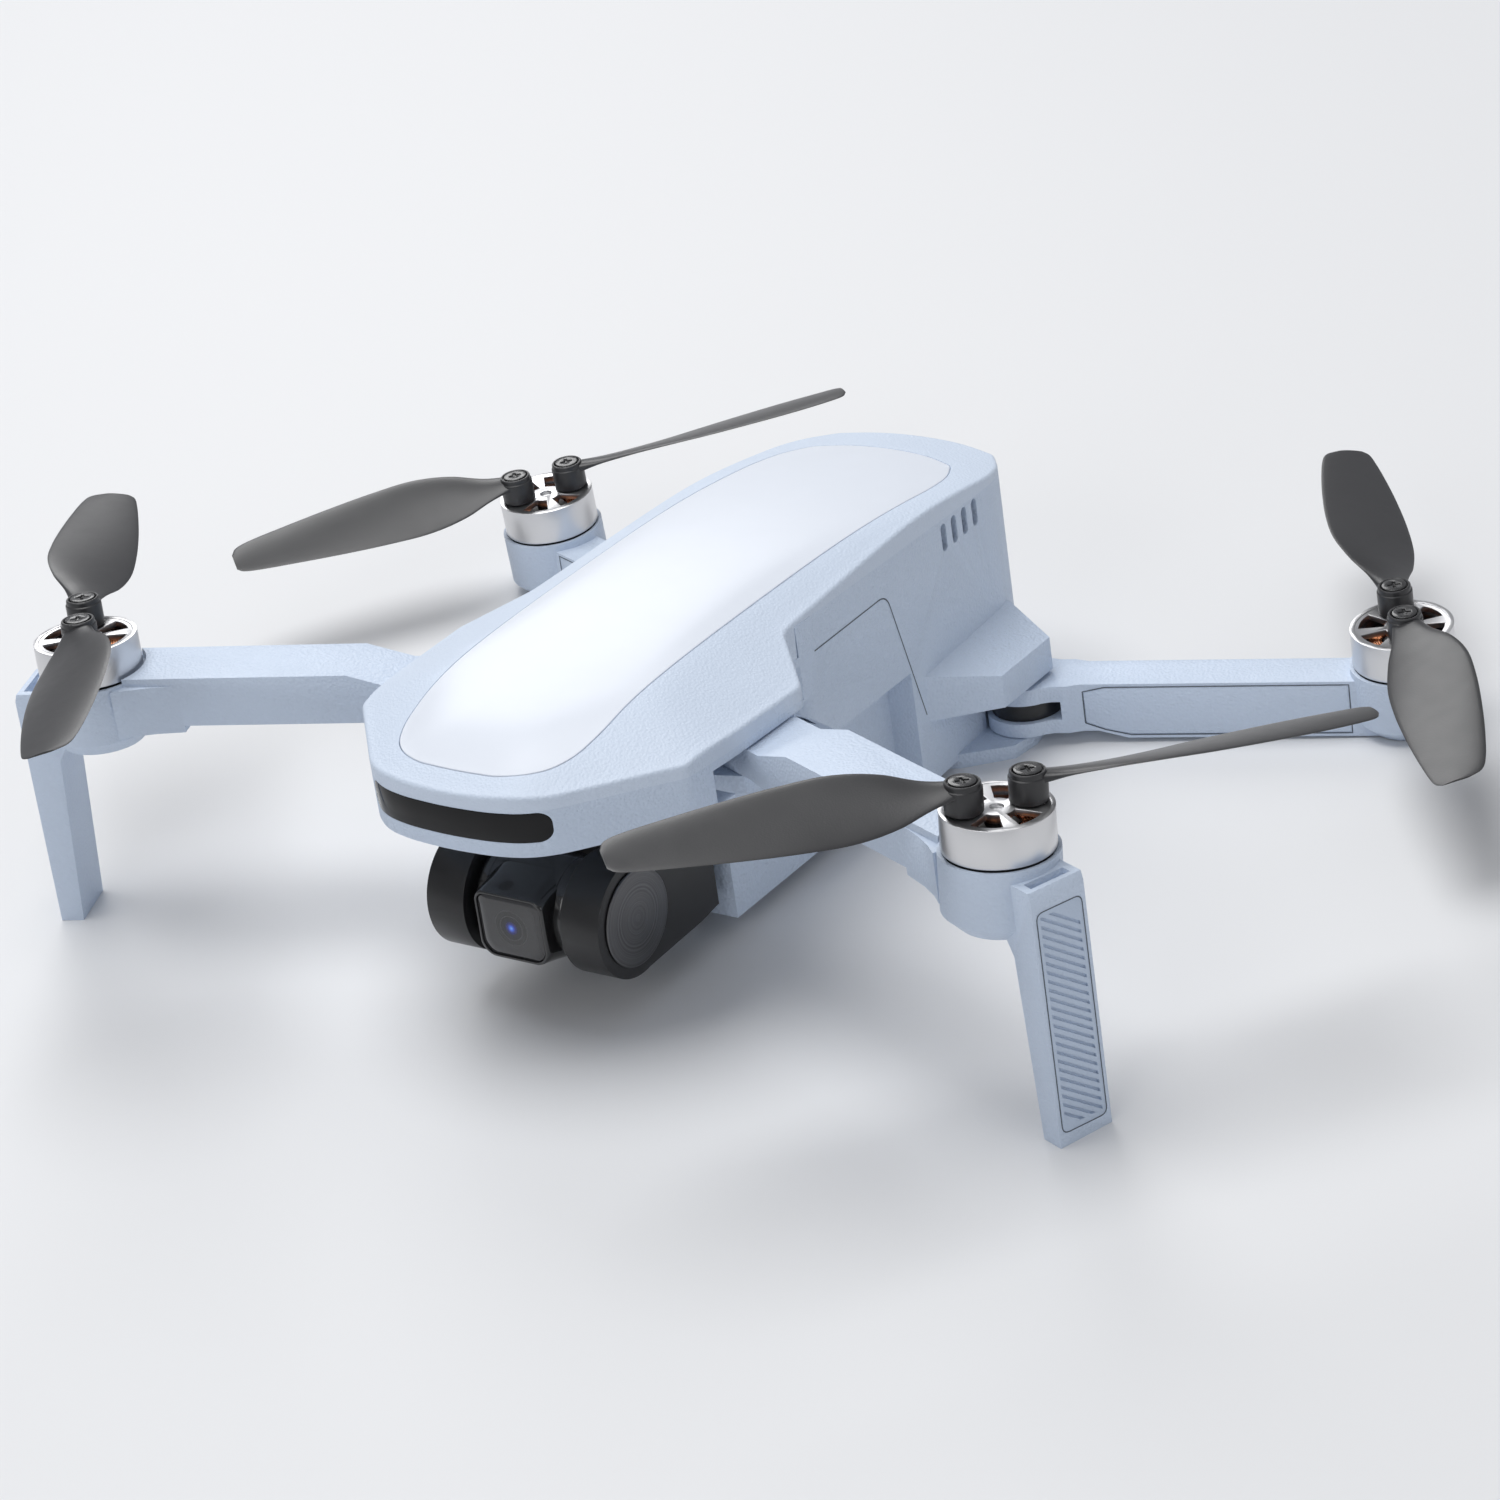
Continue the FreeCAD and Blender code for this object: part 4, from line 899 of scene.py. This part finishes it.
def leg_face(place, length):
    """A point on the outer face of a leg, from across and up."""
    def at(w, z):
        return place(length + LEG_OUT - LEG_TAPER * z, w, z)
    return at


def rear_face(place):
    """A point on the front face of a rear arm, from along and up."""
    def at(s, z):
        return place(s, -REAR_FACE, z)
    return at


def panel_seam(name, outline, place, normal, body):
    loop = divided([Vector(p) for p in outline + outline[:1]], SEAM_STEP)
    points = [place(p.x, p.y) for p in loop]
    ribbon(name, points, [normal] * len(points), PANEL_SEAM_WIDTH, body)


def build_panel_seams():
    for side, sign in SIDES:
        place, length = arm_frame("front", sign)
        outward = (place(1, 0, 0) - place(0, 0, 0)).normalized()
        corners = [(-4.2, 2.2), (4.2, 2.2), (4.2, 39.4), (-4.2, 39.4)]
        leg = [tuple(p) for p in rounded([Vector(c) for c in corners], 1.3, 5)]
        panel_seam(f"leg_seam_{side}", leg, leg_face(place, length), outward, f"front_{side}_arm")
        place, length = arm_frame("rear", sign)
        forward = (place(0, -1, 0) - place(0, 0, 0)).normalized()
        bed = [(10.8, 7.9), (14.2, 6.6), (18.5, 5.6), (56.3, 5.6), (56.3, 14.6), (14.6, 14.6), (10.8, 13.8)]
        panel_seam(f"rear_seam_{side}", bed, rear_face(place), forward, f"rear_{side}_arm")


# corners of the door's seam and of the black box behind the vents, which paints the shade inside them, as
# (y, z) on the side wall
DOOR = ((-19.2, 44.3), (8.6, 43.5), (16.3, 17.6))
DOOR_BEND = 0.09
BEND_STEPS = 8
VENT_SHADE_CORNERS = ((26.5, 41.8), (41.2, 41.8), (41.2, 47.5), (26.5, 47.5))
VENT_SHADE_DEPTHS = (2.1, 2.6)
WALL_TURN = 0.048


def door_line():
    """The seam of the side door: two straight runs with a rounded corner between them."""
    start, corner, end = [Vector(p) for p in DOOR]
    before, after = corner.lerp(start, DOOR_BEND), corner.lerp(end, DOOR_BEND)
    bend = []
    for i in range(BEND_STEPS + 1):
        t = i / BEND_STEPS
        bend.append(before * (1 - t) ** 2 + corner * 2 * t * (1 - t) + after * t * t)
    line = []
    for p in divided([start] + bend + [end], SEAM_STEP):
        line.append(p)
        if (p - end).length < 0.01:
            break
    return line


def build_seams():
    line = door_line()
    for side, sign in SIDES:
        points = [Vector((sign * wall_x(p.x), p.x, p.y)) for p in line]
        normals = [Vector((sign, WALL_TURN, 0)).normalized()] * len(points)
        ribbon(f"door_seam_{side}", points, normals, DOOR_SEAM_WIDTH, "airframe")
        # a black box just behind the vent slots: painted shade inside the vents
        verts = []
        for depth in VENT_SHADE_DEPTHS:
            verts += [BODY @ Vector((sign * (wall_x(y) - depth), y, z)) for y, z in VENT_SHADE_CORNERS]
        walls = [(i, (i + 1) % 4, 4 + (i + 1) % 4, 4 + i) for i in range(4)]
        faces = [(0, 1, 2, 3), (7, 6, 5, 4)] + walls
        add_mesh(f"vent_shade_box_{side}", verts, faces, "airframe", "washer", 30.0)


# ---------------------------------------------------------------- the rest of the pieces
def keep(node, material=None):
    """A CAD piece that stays, with a better material."""
    mesh_object = frame["nodes"][node]
    for slot in mesh_object.material_slots:
        slot.material = MATS[material or SLOT_OF[node]]


def build_rest():
    softened("lower_shell", "shell_wall", 0.35, 3)
    softened("nose_window", None, 0.2, 2)
    softened("gimbal_bracket", None, 0.6, 3)
    for node in ("battery_case", "battery_latch", "power_button", "rear_hinge_washers"):
        softened(node, None, 0.25, 2)
    for side, sign in SIDES:
        softened(f"front_{side}_arm", None, 0.7, 3)
        softened(f"rear_{side}_arm", None, 0.5, 3)
        softened(f"front_{side}_leg_panel", None, 0.18, 2)
        softened(f"rear_{side}_arm_panel", "arm_shell", 0.3, 2)
        for end in ENDS:
            softened(f"{end}_{side}_bell", None, 0.22, 3)
            softened(f"{end}_{side}_windings", None, 0.3, 3)
            softened(f"{end}_{side}_hub_screws", None, 0.12, 2)
            for piece in ("magnets", "stator"):
                keep(f"{end}_{side}_{piece}")
    for node in (
        "hinge_pins", "gimbal_dampers", "main_board", "gps_antenna", "belly_sensors", "usb_port",
        "shell_screws", "camera_lens", "battery_cells", "battery_lights",
    ):
        keep(node)
    low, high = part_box("gimbal_caps")
    middle_y = (low[1] + high[1]) / 2
    middle_z = (low[2] + high[2]) / 2
    MATS["spun_metal"] = spun_disc("cap_metal", (0.20, 0.20, 0.205), middle_y, middle_z)
    softened("gimbal_caps", "spun_metal", 0.2, 2)


# ---------------------------------------------------------------- floor, light, camera
def build_stage():
    bpy.ops.mesh.primitive_plane_add(size=30.0, location=(0, 0, 0))
    floor = bpy.context.object
    floor.name = "floor"
    mat, nodes, links, shader = new_material("floor_pale")
    coords = object_coords(nodes)
    mottle = noise(nodes, links, coords, 400.0)
    tone = mixed_colour(nodes, links, mottle, (0.74, 0.745, 0.755), (0.76, 0.765, 0.775))
    links.new(tone, shader.inputs["Base Color"])
    shader.inputs["Roughness"].default_value = 0.6
    floor.data.materials.append(mat)


def area_light(name, place, target, size, power, colour=(1, 1, 1)):
    data = bpy.data.lights.new(name, "AREA")
    data.shape = "DISK"
    data.size = size
    data.energy = power
    data.color = colour
    light = bpy.data.objects.new(name, data)
    light.location = place
    light.rotation_euler = (Vector(target) - Vector(place)).to_track_quat("-Z", "Y").to_euler()
    bpy.context.collection.objects.link(light)


def build_light():
    world = bpy.data.worlds.new("studio")
    world.use_nodes = True
    background = world.node_tree.nodes["Background"]
    background.inputs["Color"].default_value = (0.93, 0.95, 1.0, 1)
    background.inputs["Strength"].default_value = 0.36
    bpy.context.scene.world = world
    area_light("top", (-0.25, 0.0, 1.3), (0, 0, 0), 1.0, 12.0)
    area_light("back", (-0.9, 0.9, 0.8), (0, 0, 0.03), 0.7, 4.2)
    area_light("key", (0.15, -1.2, 0.7), (0, 0, 0.03), 0.6, 2.0)
    area_light("side", (1.3, -0.2, 0.45), (0, 0, 0.03), 0.5, 1.0)


CAMERA_PLACE = (459.189, -595.274, 384.532)
CAMERA_BACK = (math.radians(37.795), math.radians(26.159))
CAMERA_UP = (-0.15175, 0.43422, 0.88793)
FOCAL_PX = 4976.54
PHOTO_WIDTH = 1500.0


def build_camera():
    data = bpy.data.cameras.new("camera")
    data.sensor_width = 36.0
    data.lens = 36.0 * FOCAL_PX / PHOTO_WIDTH
    data.clip_start = 0.05
    data.clip_end = 50.0
    camera = bpy.data.objects.new("camera", data)
    bpy.context.collection.objects.link(camera)
    turn, rise = CAMERA_BACK
    back = Vector((math.sin(turn) * math.cos(rise), -math.cos(turn) * math.cos(rise), math.sin(rise)))
    up = Vector(CAMERA_UP)
    right = up.cross(back).normalized()
    up = back.cross(right).normalized()
    attitude = BODY.to_3x3() @ Matrix((right, up, back)).transposed()
    attitude = attitude @ Matrix.Scale(1.0 / MM, 3)
    camera.matrix_world = Matrix.Translation(BODY @ Vector(CAMERA_PLACE)) @ attitude.to_4x4()
    bpy.context.scene.camera = camera


build_top()
build_blades()
build_camera_head()
build_seams()
build_panel_seams()
build_rest()
build_stage()
build_light()
build_camera()
bpy.context.scene.view_settings.view_transform = "Standard"
